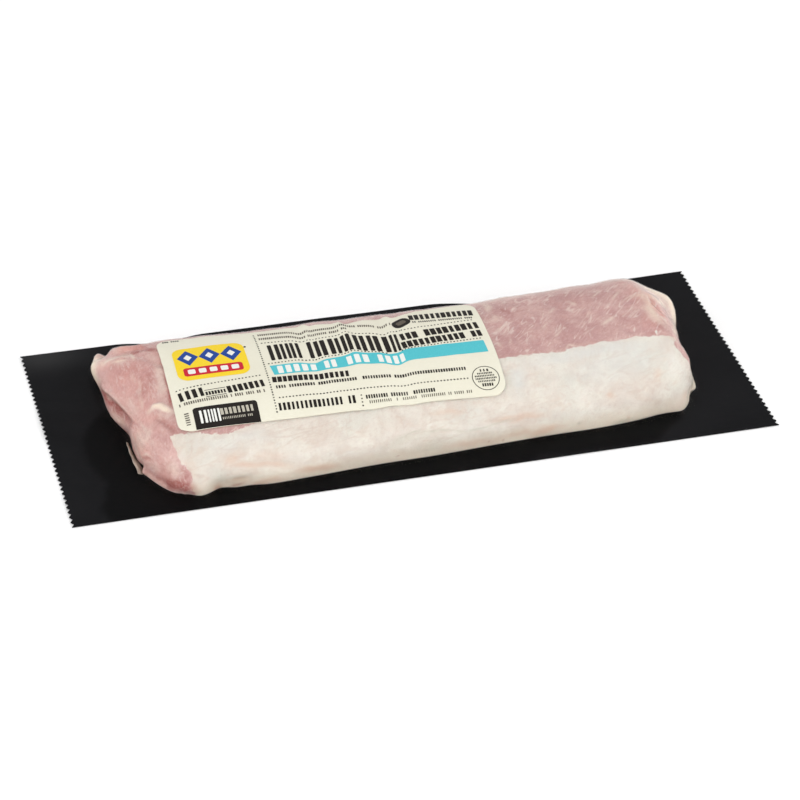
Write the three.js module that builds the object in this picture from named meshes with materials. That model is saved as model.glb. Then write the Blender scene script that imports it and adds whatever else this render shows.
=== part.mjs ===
// A seasoned pork loin fillet in its vacuum pack: the loin under clear film on a black backing
// sheet with pinked ends, and a paper label over its upper face. Millimetres, +Z up.
// The origin is on the underside of the backing, below its middle. +X runs along the loin to the
// end that shows most lean, and -Y is the side with the fat cap.
import * as THREE from 'three';

// Backing sheet
const SHEET_LENGTH = 330;
const SHEET_WIDTH = 127;
const SHEET_THICKNESS = 0.5;
const TEETH = 38;                 // pinked teeth across each end
const TOOTH_DEPTH = 1.5;
// The back edge draws in where the film has shrunk: middle, half length and depth of each bow
const EDGE_BOWS = [
  { middle: 80, reach: 48, depth: 9 },
  { middle: -99, reach: 22, depth: 3 },
];
const BOW_STEPS = 10;

// Loin
const CREST_LEFT = { x: -104, y: -5.5 };   // ends of the line along the top of the loin
const CREST_RIGHT = { x: 118, y: 0 };
// Height of the crest above the sheet, along X
const CREST_HEIGHTS = [[-104, 29.3], [-60, 29.3], [0, 29.5], [40, 29.2], [80, 28.4], [104, 29], [118, 32]];
const SIDE_CRISPNESS = 2.6;       // power of the superellipse across the loin
// Where the loin meets the sheet, going round from the front left. Each point has x, y, how crisp
// its shoulder is, and how far the top has fallen, as a share of the height, when it gets there.
const FOOT = [
  // fat cap side
  [-106, -55.5, 2.5, 0], [-60, -53.5, SIDE_CRISPNESS, 0], [0, -52, SIDE_CRISPNESS, 0],
  [60, -47.5, SIDE_CRISPNESS, 0], [112, -45, SIDE_CRISPNESS, 0],
  // right end
  [127, -41.5, 2.6, 0.12], [136.5, -27, 3, 0.35], [138.5, -12, 3.4, 0.42], [141, 2, 3.4, 0.45],
  [146, 17, 3.4, 0.47], [145.5, 31, 3.4, 0.48], [134, 41, 3, 0.36],
  // back
  [114, 43.5, SIDE_CRISPNESS, 0.05], [60, 39, SIDE_CRISPNESS, 0], [0, 40, SIDE_CRISPNESS, 0],
  [-60, 41, SIDE_CRISPNESS, 0], [-104, 43.5, SIDE_CRISPNESS, 0.03], [-121, 44, 3, 0.32],
  // left end, from the ear of fat at the back corner
  [-132, 47.5, 4.5, 0.68], [-136, 38, 6, 0.58], [-135.2, 25, 6.5, 0.52], [-133.2, 10, 6.5, 0.5],
  [-130, -5, 5, 0.45], [-128.5, -20, 3.4, 0.35], [-127.5, -33, 2.8, 0.25],
  [-122, -44.5, 2.6, 0.15], [-115, -52, 2.5, 0.05],
];
const FALL_POWER = 1.5;           // the top falls slowly at first, then faster towards an end
const SPAN_STEPS = 24;            // points worked out between two points of FOOT
const ROUND_STEPS = 168;          // facets round the foot
const RISE_STEPS = 15;            // rings of facets from the foot to the crest
const INNERMOST_RING = 0.07;      // the last ring, as a share of the way from crest to foot

// Shallow hollows and swellings of the meat: x, y, half lengths in x and y, and rise
const SWELLINGS = [
  { x: -118, y: 22, longX: 13, longY: 16, rise: 1.2 },
  { x: -112, y: -22, longX: 9, longY: 14, rise: -1.4 },
  { x: -90, y: -46, longX: 16, longY: 8, rise: 0.8 },
  { x: -30, y: -44, longX: 30, longY: 7, rise: -0.7 },
  { x: 46, y: 8, longX: 7, longY: 24, rise: -0.9 },
  { x: 62, y: -38, longX: 26, longY: 9, rise: 0.8 },
  { x: 104, y: 16, longX: 20, longY: 16, rise: 0.9 },
  { x: 131, y: 12, longX: 7, longY: 20, rise: -1.3 },
];
const SWELLING_FADE = 4;          // power by which they die away towards the foot

// Label
const LABEL_LENGTH = 151;
const LABEL_HEIGHT = 68;          // measured round the loin
const LABEL_CORNER = 9;
const LABEL_LEFT = -110.5;        // x of its left edge at mid height
const LABEL_DRIFT_LEFT = -0.6;    // how far its middle line is behind the crest at each end
const LABEL_DRIFT_RIGHT = -6.2;
const LABEL_LEAN = 0.045;         // the left and right edges lean over by this slope
const LABEL_GAP = 0.4;
const LABEL_THICKNESS = 0.4;
const LABEL_COLUMNS = 44;
const LABEL_ROWS = 20;
// Folds across the label where the film has gathered: x, half width and rise
const LABEL_FOLDS = [
  { x: -52, wide: 2.6, rise: 0.8 },
  { x: -38, wide: 3.2, rise: -0.5 },
  { x: 4, wide: 3, rise: 0.8 },
  { x: 18, wide: 4, rise: -0.4 },
];
const ARC_STEP = 0.25;            // step for measuring round the loin

const BLACK_FILM = { color: 0x1c1c1e, roughness: 0.45, metalness: 0 };
const PORK_UNDER_FILM = { color: 0xd9b3ac, roughness: 0.3, metalness: 0 };
const CREAM_PAPER = { color: 0xefeadb, roughness: 0.6, metalness: 0 };

const lerp = THREE.MathUtils.lerp;
const clamp = THREE.MathUtils.clamp;

// Reads a table in straight steps: the rows start with a position and go on with their values.
function readTable(table, at) {
  let i = 1;
  while (i < table.length - 1 && at > table[i][0]) i++;
  const [from, ...low] = table[i - 1];
  const [to, ...high] = table[i];
  const t = clamp((at - from) / (to - from), 0, 1);
  return low.map((value, k) => lerp(value, high[k], t));
}

// One value of a Catmull-Rom span.
function spanValue(a, b, c, d, t) {
  return 0.5 * (2 * b + (c - a) * t + (2 * a - 5 * b + 4 * c - d) * t * t
    + (3 * b - a - 3 * c + d) * t * t * t);
}

// The foot as a closed smooth line, each point with its crispness and fall.
function smoothFoot() {
  const line = [];
  const count = FOOT.length;
  for (let i = 0; i < count; i++) {
    const around = [count - 1, 0, 1, 2].map((k) => FOOT[(i + k) % count]);
    for (let step = 0; step < SPAN_STEPS; step++) {
      const t = step / SPAN_STEPS;
      line.push(FOOT[i].map((_, k) => spanValue(...around.map((p) => p[k]), t)));
    }
  }
  return line;
}

// The same closed line in equal steps.
function evenSteps(line, steps) {
  const closed = [...line, line[0]];
  const reached = [0];
  for (let i = 1; i < closed.length; i++) {
    const dx = closed[i][0] - closed[i - 1][0];
    const dy = closed[i][1] - closed[i - 1][1];
    reached.push(reached[i - 1] + Math.hypot(dx, dy));
  }
  const total = reached[reached.length - 1];
  const even = [];
  let i = 1;
  for (let step = 0; step < steps; step++) {
    const at = (total * step) / steps;
    while (reached[i] < at) i++;
    const t = (at - reached[i - 1]) / (reached[i] - reached[i - 1]);
    even.push(closed[i].map((value, k) => lerp(closed[i - 1][k], value, t)));
  }
  return even;
}

function crestY(x) {
  const t = clamp((x - CREST_LEFT.x) / (CREST_RIGHT.x - CREST_LEFT.x), 0, 1);
  return lerp(CREST_LEFT.y, CREST_RIGHT.y, t);
}

// The end of the crest, or the place on it, that the foot at this x is joined to.
function crestFor(x) {
  const crestX = clamp(x, CREST_LEFT.x, CREST_RIGHT.x);
  return [crestX, crestY(crestX)];
}

// Angle of a place round the end of the crest, from -90 degrees at the front to 90 at the back.
function turnRoundEnd([crestX, crest], x, y) {
  return Math.atan2(y - crest, Math.abs(x - crestX));
}

const footLine = smoothFoot();
const sortedBy = (table) => table.sort((a, b) => a[0] - b[0]);
const besideCrest = (side) => sortedBy(footLine.filter(([x, y]) => (y - crestY(x)) * side > 0));
const frontFoot = besideCrest(-1);
const backFoot = besideCrest(1);
const roundEnd = (end, side) => sortedBy(footLine
  .filter(([x]) => (x - end.x) * side > 0)
  .map((point) => [turnRoundEnd([end.x, end.y], point[0], point[1]), ...point]));
const leftFoot = roundEnd(CREST_LEFT, -1);
const rightFoot = roundEnd(CREST_RIGHT, 1);

// The foot that a place lies towards, seen from the crest: x, y, crispness and fall.
function footTowards(x, y) {
  const crest = crestFor(x);
  if (crest[0] !== x) return readTable(x < crest[0] ? leftFoot : rightFoot, turnRoundEnd(crest, x, y));
  return [x, ...readTable(y < crest[1] ? frontFoot : backFoot, x)];
}

// Height above the sheet at a place, given as its share of the way from the crest to the foot.
function heightAt(x, y, share, crispness, fall) {
  const [crestHeight] = readTable(CREST_HEIGHTS, crestFor(x)[0]);
  const round = Math.max(1 - share ** crispness, 0) ** (1 / crispness);
  const fade = 1 - share ** SWELLING_FADE;
  const swelling = SWELLINGS.reduce((sum, s) => {
    const away = ((x - s.x) / s.longX) ** 2 + ((y - s.y) / s.longY) ** 2;
    return sum + s.rise * Math.exp(-away);
  }, 0);
  return crestHeight * round * (1 - fall * share ** FALL_POWER) + fade * swelling;
}

// Height of the loin's surface above the floor.
function loinTop(x, y) {
  const [crestX, crest] = crestFor(x);
  const [footX, footY, crispness, fall] = footTowards(x, y);
  const share = Math.min(Math.hypot(x - crestX, y - crest) / Math.hypot(footX - crestX, footY - crest), 1);
  return SHEET_THICKNESS + heightAt(x, y, share, crispness, fall);
}

function meshGeometry(vertices, faces) {
  const geometry = new THREE.BufferGeometry();
  geometry.setAttribute('position', new THREE.Float32BufferAttribute(vertices.flat(), 3));
  geometry.setIndex(faces.flat());
  return geometry;
}

function addQuad(faces, a, b, c, d) {
  faces.push([a, b, c], [a, c, d]);
}

// Closes a long ring of vertices with facets from side to side, laced from its leftmost vertex.
function closeRing(vertices, start, count) {
  const at = (i) => start + ((i % count) + count) % count;
  const apart = (i, j) => Math.hypot(...vertices[at(i)].map((value, k) => value - vertices[at(j)][k]));
  let leftmost = 0;
  for (let i = 1; i < count; i++) if (vertices[at(i)][0] < vertices[at(leftmost)][0]) leftmost = i;
  const faces = [];
  let ahead = leftmost + 1;
  let behind = leftmost - 1 + count;
  faces.push([at(behind), at(leftmost), at(ahead)]);
  while (behind - ahead > 1) {
    const stepAhead = apart(ahead + 1, behind) < apart(ahead, behind - 1);
    const next = stepAhead ? ahead + 1 : behind - 1;
    faces.push([at(behind), at(ahead), at(next)]);
    if (stepAhead) ahead = next;
    else behind = next;
  }
  return faces;
}

// Black sheet: straight long sides with the two bows in the back one, and a zigzag at each end.
function backingSheet() {
  const halfLength = SHEET_LENGTH / 2;
  const halfWidth = SHEET_WIDTH / 2;
  const pitch = SHEET_WIDTH / TEETH;
  const outline = [new THREE.Vector2(-halfLength, -halfWidth), new THREE.Vector2(halfLength, -halfWidth)];
  for (let tooth = 0; tooth < TEETH; tooth++) {
    const y = -halfWidth + tooth * pitch;
    outline.push(new THREE.Vector2(halfLength - TOOTH_DEPTH, y + pitch / 2));
    outline.push(new THREE.Vector2(halfLength, y + pitch));
  }
  for (const bow of EDGE_BOWS) {
    for (let step = 0; step <= BOW_STEPS; step++) {
      const along = 1 - (2 * step) / BOW_STEPS;
      const dip = bow.depth * (0.5 + 0.5 * Math.cos(Math.PI * along));
      outline.push(new THREE.Vector2(bow.middle + along * bow.reach, halfWidth - dip));
    }
  }
  outline.push(new THREE.Vector2(-halfLength, halfWidth));
  for (let tooth = 0; tooth < TEETH; tooth++) {
    const y = halfWidth - tooth * pitch;
    outline.push(new THREE.Vector2(-halfLength + TOOTH_DEPTH, y - pitch / 2));
    if (tooth < TEETH - 1) outline.push(new THREE.Vector2(-halfLength, y - pitch));
  }
  return new THREE.ExtrudeGeometry(new THREE.Shape(outline), { depth: SHEET_THICKNESS, bevelEnabled: false });
}

// The loin as the film holds it: rings of facets from the foot in to the crest, flat underneath.
function sealedLoin() {
  const foot = evenSteps(footLine, ROUND_STEPS);
  const vertices = [];
  for (let ring = 0; ring <= RISE_STEPS; ring++) {
    const turn = (Math.PI / 2) * (ring / RISE_STEPS);
    for (const [x, y, crispness, fall] of foot) {
      const [crestX, crest] = crestFor(x);
      const share = Math.max(Math.cos(turn) ** (2 / crispness), INNERMOST_RING);
      const placeX = lerp(crestX, x, share);
      const placeY = lerp(crest, y, share);
      const height = ring === 0 ? 0 : heightAt(placeX, placeY, share, crispness, fall);
      vertices.push([placeX, placeY, SHEET_THICKNESS + height]);
    }
  }
  const faces = [];
  for (let ring = 0; ring < RISE_STEPS; ring++) {
    for (let i = 0; i < ROUND_STEPS; i++) {
      const next = (i + 1) % ROUND_STEPS;
      const low = ring * ROUND_STEPS;
      const high = low + ROUND_STEPS;
      addQuad(faces, low + i, low + next, high + next, high + i);
    }
  }
  const crestRing = RISE_STEPS * ROUND_STEPS;
  faces.push(...closeRing(vertices, crestRing, ROUND_STEPS));
  faces.push(...closeRing(vertices, 0, ROUND_STEPS).map(([a, b, c]) => [a, c, b]));
  return meshGeometry(vertices, faces);
}

// The y that is so far round the loin from its crest, negative towards the front.
function yRoundLoin(x, distance) {
  const way = Math.sign(distance) || 1;
  let y = crestY(x);
  let z = loinTop(x, y);
  let left = Math.abs(distance);
  while (left > 0) {
    const nextY = y + way * ARC_STEP;
    const nextZ = loinTop(x, nextY);
    const stepLength = Math.hypot(ARC_STEP, nextZ - z);
    if (stepLength > left) return y + way * ARC_STEP * (left / stepLength);
    left -= stepLength;
    y = nextY;
    z = nextZ;
  }
  return y;
}

function labelFold(x) {
  return LABEL_FOLDS.reduce((sum, f) => sum + f.rise * Math.exp(-(((x - f.x) / f.wide) ** 2)), 0);
}

// A thin sheet that follows the loin, with rounded corners and folds across it.
function label() {
  const halfHeight = LABEL_HEIGHT / 2;
  const vertices = [];
  for (let row = 0; row <= LABEL_ROWS; row++) {
    const across = -halfHeight + (LABEL_HEIGHT * row) / LABEL_ROWS;
    const intoCorner = Math.max(Math.abs(across) - (halfHeight - LABEL_CORNER), 0);
    const cut = LABEL_CORNER - Math.sqrt(LABEL_CORNER ** 2 - intoCorner ** 2);
    for (let column = 0; column <= LABEL_COLUMNS; column++) {
      const u = column / LABEL_COLUMNS;
      const along = lerp(cut, LABEL_LENGTH - cut, u);
      const x = LABEL_LEFT + along + across * LABEL_LEAN;
      const drift = lerp(LABEL_DRIFT_LEFT, LABEL_DRIFT_RIGHT, along / LABEL_LENGTH);
      const y = yRoundLoin(x, across + drift);
      const slopeX = (loinTop(x + ARC_STEP, y) - loinTop(x - ARC_STEP, y)) / (2 * ARC_STEP);
      const slopeY = (loinTop(x, y + ARC_STEP) - loinTop(x, y - ARC_STEP)) / (2 * ARC_STEP);
      const outward = new THREE.Vector3(-slopeX, -slopeY, 1).normalize();
      const base = new THREE.Vector3(x, y, loinTop(x, y));
      const rise = LABEL_GAP + Math.max(labelFold(x), 0);
      vertices.push(base.clone().addScaledVector(outward, rise).toArray());
      vertices.push(base.addScaledVector(outward, rise + LABEL_THICKNESS).toArray());
    }
  }
  const under = (row, column) => 2 * (row * (LABEL_COLUMNS + 1) + column);
  const faces = [];
  for (let row = 0; row < LABEL_ROWS; row++) {
    for (let column = 0; column < LABEL_COLUMNS; column++) {
      const corners = [under(row, column), under(row, column + 1), under(row + 1, column + 1), under(row + 1, column)];
      const [a, b, c, d] = corners;
      addQuad(faces, a + 1, b + 1, c + 1, d + 1);
      faces.push([a, c, b], [a, d, c]);
    }
  }
  for (let column = 0; column < LABEL_COLUMNS; column++) {
    const front = [under(0, column), under(0, column + 1)];
    const back = [under(LABEL_ROWS, column), under(LABEL_ROWS, column + 1)];
    addQuad(faces, front[0], front[1], front[1] + 1, front[0] + 1);
    addQuad(faces, back[1], back[0], back[0] + 1, back[1] + 1);
  }
  for (let row = 0; row < LABEL_ROWS; row++) {
    const left = [under(row, 0), under(row + 1, 0)];
    const right = [under(row, LABEL_COLUMNS), under(row + 1, LABEL_COLUMNS)];
    addQuad(faces, left[1], left[0], left[0] + 1, left[1] + 1);
    addQuad(faces, right[0], right[1], right[1] + 1, right[0] + 1);
  }
  return meshGeometry(vertices, faces);
}

function namedMesh(name, geometry, finish) {
  const mesh = new THREE.Mesh(geometry, new THREE.MeshStandardMaterial(finish));
  mesh.name = name;
  return mesh;
}

const pack = new THREE.Group();
pack.add(namedMesh('backing_sheet', backingSheet(), BLACK_FILM));
pack.add(namedMesh('sealed_loin', sealedLoin(), PORK_UNDER_FILM));
pack.add(namedMesh('label', label(), CREAM_PAPER));

export default pack;
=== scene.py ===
"""A vacuum pack of pork loin fillet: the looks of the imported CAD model.

The meat, the clear film shrunk over it, the black backing sheet and the printed paper label are
worked out in millimetres and made in metres, in the frame of the CAD model. +X runs along the loin,
-Y is the side with the fat cap and +Z is up. The underside of the backing lies on the floor.
"""
import math

import bmesh
import bpy
import numpy as np
from mathutils import Matrix, Vector, noise
from mathutils.bvhtree import BVHTree
from mathutils.interpolate import poly_3d_calc


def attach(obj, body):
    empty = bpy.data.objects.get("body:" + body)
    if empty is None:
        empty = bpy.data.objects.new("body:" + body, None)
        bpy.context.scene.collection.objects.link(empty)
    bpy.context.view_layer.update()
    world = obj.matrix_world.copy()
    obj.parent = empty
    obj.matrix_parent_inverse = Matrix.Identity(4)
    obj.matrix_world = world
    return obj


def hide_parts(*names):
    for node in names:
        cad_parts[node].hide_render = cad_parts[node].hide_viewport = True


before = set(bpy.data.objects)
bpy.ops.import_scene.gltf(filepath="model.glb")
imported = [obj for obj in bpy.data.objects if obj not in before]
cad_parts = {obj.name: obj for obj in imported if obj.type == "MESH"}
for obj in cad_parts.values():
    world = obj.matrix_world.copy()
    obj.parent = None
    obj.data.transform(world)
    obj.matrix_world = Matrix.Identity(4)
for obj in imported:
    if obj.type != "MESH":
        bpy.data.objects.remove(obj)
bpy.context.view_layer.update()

MM = 0.001
# How bright white paper shows under the studio light
LIGHT_LEVEL = 1.12
HIGHEST_PAINT = 0.95

# The form of the pack in millimetres, from sizes close to those of its solids
SHEET_LENGTH = 330.6
SHEET_WIDTH = 127
SHEET_THICKNESS = 0.5
TEETH = 38
TOOTH_DEPTH = 1.5
# Where the film has drawn in the back edge: middle, half length and depth of each bow
EDGE_BOWS = ((80, 48, 9), (-99, 22, 3))

CREST_LEFT = (-104, -5.5)
CREST_RIGHT = (118, 0)
CREST_HEIGHTS = ((-104, 29.3), (-60, 29.3), (0, 29.5), (40, 29.2), (80, 28.4), (104, 29), (118, 32))
# Where the loin meets the sheet: x, y, crispness of its shoulder and fall of its top
FOOT = (
    (-106, -55.5, 2.5, 0), (-60, -53.5, 2.6, 0), (0, -52, 2.6, 0), (60, -47.5, 2.6, 0), (112, -45, 2.6, 0),
    (127, -41.5, 2.6, 0.12), (136.5, -27, 3, 0.35), (138.5, -12, 3.4, 0.42), (141, 2, 3.4, 0.45),
    (146, 17, 3.4, 0.47), (145.5, 31, 3.4, 0.48), (134, 41, 3, 0.36),
    (114, 43.5, 2.6, 0.05), (60, 39, 2.6, 0), (0, 40, 2.6, 0), (-60, 41, 2.6, 0),
    (-104, 43.5, 2.6, 0.03), (-121, 44, 3, 0.32), (-132, 47.5, 4.5, 0.68), (-136, 38, 6, 0.58),
    (-135.2, 25, 6.5, 0.52), (-133.2, 10, 6.5, 0.5), (-130, -5, 5, 0.45), (-128.5, -20, 3.4, 0.35),
    (-127.5, -33, 2.8, 0.25), (-122, -44.5, 2.6, 0.15), (-115, -52, 2.5, 0.05),
)
FALL_POWER = 1.5
EDGE_EASE = 4.5
SPAN_STEPS = 24
# Shallow hollows and swellings: x, y, half lengths in x and y, and rise
SWELLINGS = (
    (-118, 22, 13, 16, 1.2), (-112, -22, 9, 14, -1.4), (-90, -46, 16, 8, 0.8), (-30, -44, 30, 7, -0.7),
    (46, 8, 7, 24, -0.9), (62, -38, 26, 9, 0.8), (104, 16, 20, 16, 0.9), (131, 12, 7, 20, -1.3),
)
SWELLING_FADE = 4

LABEL_LENGTH = 151
LABEL_HALF_HEIGHT = 34
LABEL_LEFT = -110.5
LABEL_DRIFT_LEFT = -0.6
LABEL_DRIFT_RIGHT = -6.2
LABEL_LEAN = 0.045


def tone(red, green, blue):
    """A colour as seen in the daylight of the picture, 0 to 255, made linear."""
    parts = [value / 255 for value in (red, green, blue)]
    linear = [p / 12.92 if p <= 0.04045 else ((p + 0.055) / 1.055) ** 2.4 for p in parts]
    return (*linear, 1.0)


def paint(red, green, blue):
    """The paint that shows as this colour under the studio light, which is a little above 1."""
    return (*[min(part / LIGHT_LEVEL, HIGHEST_PAINT) for part in tone(red, green, blue)[:3]], 1.0)


# The loin's form

def smooth_foot():
    """The foot as a closed smooth line, each point with its crispness and fall."""
    points = np.array(FOOT, float)
    t = np.arange(SPAN_STEPS)[:, None] / SPAN_STEPS
    spans = []
    for i in range(len(points)):
        a, b, c, d = (points[(i + k) % len(points)] for k in (-1, 0, 1, 2))
        spans.append(0.5 * (2 * b + (c - a) * t + (2 * a - 5 * b + 4 * c - d) * t ** 2
                            + (3 * b - a - 3 * c + d) * t ** 3))
    return np.vstack(spans)


def even_steps(line, count):
    """A closed line again, in equal steps."""
    closed = np.vstack([line, line[:1]])
    steps = np.linalg.norm(np.diff(closed[:, :2], axis=0), axis=1)
    reached = np.concatenate([[0], np.cumsum(steps)])
    at = np.linspace(0, reached[-1], count, endpoint=False)
    return np.stack([np.interp(at, reached, closed[:, k]) for k in range(closed.shape[1])], axis=1)


def crest_for(x):
    """The place on the crest that the foot at this x is joined to."""
    crest_x = np.clip(x, CREST_LEFT[0], CREST_RIGHT[0])
    ends = (CREST_LEFT[0], CREST_RIGHT[0]), (CREST_LEFT[1], CREST_RIGHT[1])
    return crest_x, np.interp(crest_x, *ends)


def height_at(x, y, share, crispness, fall):
    """Height above the sheet at a place, given as its share of the way from crest to foot."""
    crest_height = np.interp(crest_for(x)[0], *zip(*CREST_HEIGHTS))
    rounding = np.maximum(1 - share ** crispness, 0) ** (1 / crispness)
    swelling = sum(rise * np.exp(-(((x - at_x) / long_x) ** 2) - ((y - at_y) / long_y) ** 2)
                   for at_x, at_y, long_x, long_y, rise in SWELLINGS)
    fallen = 1 - fall * share ** FALL_POWER
    return crest_height * rounding * fallen + (1 - share ** SWELLING_FADE) * swelling


FOOT_LINE = smooth_foot()


def foot_tables():
    """The foot in four parts, each sorted by x or by the angle round an end of the crest."""
    line = FOOT_LINE
    beside = line[:, 1] - crest_for(line[:, 0])[1]
    tables = {}
    for name, side in (("front", -1), ("back", 1)):
        part = line[beside * side > 0]
        tables[name] = part[np.argsort(part[:, 0])]
    for name, end, side in (("left", CREST_LEFT, -1), ("right", CREST_RIGHT, 1)):
        part = line[(line[:, 0] - end[0]) * side > 0]
        turn = np.arctan2(part[:, 1] - end[1], np.abs(part[:, 0] - end[0]))
        order = np.argsort(turn)
        tables[name] = np.column_stack([turn[order], part[order]])
    return tables


FOOT_TABLES = foot_tables()


def loin_top(x, y):
    """Height of the loin's plain surface above the floor."""
    x, y = np.broadcast_arrays(np.asarray(x, float), np.asarray(y, float))
    crest_x, crest_y = crest_for(x)
    found = np.empty(x.shape + (4,))
    for name, here in (("front", (crest_x == x) & (y < crest_y)), ("back", (crest_x == x) & (y >= crest_y))):
        table = FOOT_TABLES[name]
        found[here, 0] = x[here]
        for k in (1, 2, 3):
            found[here, k] = np.interp(x[here], table[:, 0], table[:, k])
    for name, here in (("left", x < crest_x), ("right", x > crest_x)):
        table = FOOT_TABLES[name]
        turn = np.arctan2(y[here] - crest_y[here], np.abs(x[here] - crest_x[here]))
        for k in range(4):
            found[here, k] = np.interp(turn, table[:, 0], table[:, k + 1])
    reach = np.hypot(found[..., 0] - crest_x, found[..., 1] - crest_y)
    share = np.minimum(np.hypot(x - crest_x, y - crest_y) / reach, 1)
    return SHEET_THICKNESS + height_at(x, y, share, found[..., 2], found[..., 3])


def plain_skin(around, rise_steps, innermost):
    """Rings of points from the foot in to the crest, evenly spaced up every side."""
    foot = even_steps(FOOT_LINE, around)
    turns = np.linspace(0, math.pi / 2, 240)[:, None]
    crisp = foot[:, 2]
    by_turn = np.cos(turns) ** (2 / crisp)
    by_share = np.repeat(np.linspace(1, innermost, 160)[:, None], around, axis=1)
    share = -np.sort(-np.maximum(np.vstack([by_turn, by_share]), innermost), axis=0)
    crest_x, crest_y = crest_for(foot[:, 0])
    x = crest_x + (foot[:, 0] - crest_x) * share
    y = crest_y + (foot[:, 1] - crest_y) * share
    z = SHEET_THICKNESS + height_at(x, y, share, crisp, foot[:, 3])
    z[0] = SHEET_THICKNESS
    profile = np.stack([x, y, z], axis=2)
    gone = np.cumsum(np.linalg.norm(np.diff(profile, axis=0), axis=2), axis=0)
    gone = np.vstack([np.zeros((1, around)), gone])
    rings = np.empty((rise_steps + 1, around, 3))
    for i in range(around):
        at = np.linspace(0, gone[-1, i], rise_steps + 1)
        for k in range(3):
            rings[:, i, k] = np.interp(at, gone[:, i], profile[:, i, k])
    return eased_at_crest_ends(rings)


def eased_at_crest_ends(rings):
    """Takes away the faint edge down each side where the straight part meets a rounded end."""
    cell = np.linalg.norm(rings[0] - np.roll(rings[0], 1, axis=0), axis=1).mean()
    eased = rings.copy()
    for _ in range(int(2 * (EDGE_EASE / cell) ** 2)):
        eased = 0.5 * eased + 0.25 * (np.roll(eased, 1, axis=1) + np.roll(eased, -1, axis=1))
    near = sum(np.exp(-((rings[..., 0] - end[0]) / (2.2 * EDGE_EASE)) ** 2)
               for end in (CREST_LEFT, CREST_RIGHT))
    share = np.clip(near, 0, 1) * np.clip((rings[..., 2] - 3) / 8, 0, 1)
    return rings + share[..., None] * (eased - rings)


def outward(rings):
    """Unit normals of rings of points that run anticlockwise and inward."""
    along = np.roll(rings, -1, axis=1) - np.roll(rings, 1, axis=1)
    inward = np.gradient(rings, axis=0)
    normals = np.cross(along, inward)
    return normals / np.maximum(np.linalg.norm(normals, axis=2, keepdims=True), 1e-9)


def line_distance(points, line):
    """Distance of each point from a line of straight pieces, and how far along it the nearest place is."""
    line = np.array(line, float)
    if len(line) == 1:
        return np.linalg.norm(points - line[0], axis=-1), np.full(points.shape[:-1], 0.5)
    lengths = np.linalg.norm(np.diff(line, axis=0), axis=1)
    reached = np.concatenate([[0], np.cumsum(lengths)])
    nearest = np.full(points.shape[:-1], np.inf)
    along = np.zeros(points.shape[:-1])
    for i, length in enumerate(lengths):
        way = (line[i + 1] - line[i]) / length
        t = np.clip((points - line[i]) @ way, 0, length)
        away = np.linalg.norm(points - line[i] - t[..., None] * way, axis=-1)
        closer = away < nearest
        nearest = np.where(closer, away, nearest)
        along = np.where(closer, (reached[i] + t) / reached[-1], along)
    return nearest, along


def tapered(along, share=0.25):
    """1 along a line, easing to 0 at both of its ends."""
    t = np.clip(np.minimum(along, 1 - along) / share, 0, 1)
    return t * t * (3 - 2 * t)


def coarse_noise(points, size, seed):
    """Smooth noise from -1 to 1 with features of about this size in millimetres."""
    flat = points.reshape(-1, 3) / size + seed * 17.3
    values = np.array([noise.noise(Vector(p)) for p in flat])
    return values.reshape(points.shape[:-1])


def under_label(points, margin):
    """1 where the label lies over the loin, easing to 0 within the margin round it."""
    along = points[..., 0] - LABEL_LEFT
    across = label_across(points[..., 0], points[..., 1])
    inside_x = np.minimum(along, LABEL_LENGTH - along)
    inside_y = LABEL_HALF_HEIGHT - np.abs(across)
    t = np.clip((np.minimum(inside_x, inside_y) + margin) / margin, 0, 1)
    return t * t * (3 - 2 * t)


# The camera of the picture, in metres. A place in the picture is given in its pixels, 800 to a side

PICTURE_SIDE = 800
SENSOR_WIDTH = 36
CAMERA_PLACE = (-0.326, -0.9932, 0.784)
CAMERA_RIGHT = (0.9592, -0.2787, 0.0472)
CAMERA_UP = (0.1321, 0.5896, 0.7968)
CAMERA_LENS = 126.57


def camera_axes():
    """The ways to the camera's right, upwards and backwards."""
    right = Vector(CAMERA_RIGHT).normalized()
    back = right.cross(Vector(CAMERA_UP)).normalized()
    return right, back.cross(right), back


def picture_reader(rings, plain):
    """Gives a function that turns a line of pixel places into places in millimetres on the plain form.

    The rings are the form as the camera sees it. A place of three numbers is in millimetres already.
    """
    right, up, back = camera_axes()
    eye = Vector(CAMERA_PLACE) / MM
    pixels_per_slope = CAMERA_LENS / SENSOR_WIDTH * PICTURE_SIDE
    faces = ring_faces(rings.shape[0], rings.shape[1])
    seen = rings.reshape(-1, 3)
    known = plain.reshape(-1, 3)
    tree = BVHTree.FromPolygons(seen.tolist(), faces)

    def read(line):
        places = []
        for place in line:
            if len(place) == 3:
                places.append(np.array(place, float))
                continue
            aside = (place[0] - PICTURE_SIDE / 2) / pixels_per_slope
            below = (place[1] - PICTURE_SIDE / 2) / pixels_per_slope
            way = (right * aside - up * below - back).normalized()
            hit, _, face, _ = tree.ray_cast(eye, way)
            if hit is None:
                # just past the rim that the camera sees, so the point nearest to the line of sight
                beside = np.linalg.norm(np.cross(seen - np.array(eye), np.array(way)), axis=1)
                places.append(known[np.argmin(beside)])
                continue
            corners = list(faces[face])
            weights = poly_3d_calc([Vector(seen[corner]) for corner in corners], hit)
            places.append(np.array(weights) @ known[corners])
        return np.array(places)

    return read


MEAT_AROUND = 900
MEAT_RISES = 100
INNERMOST = 0.02
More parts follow.
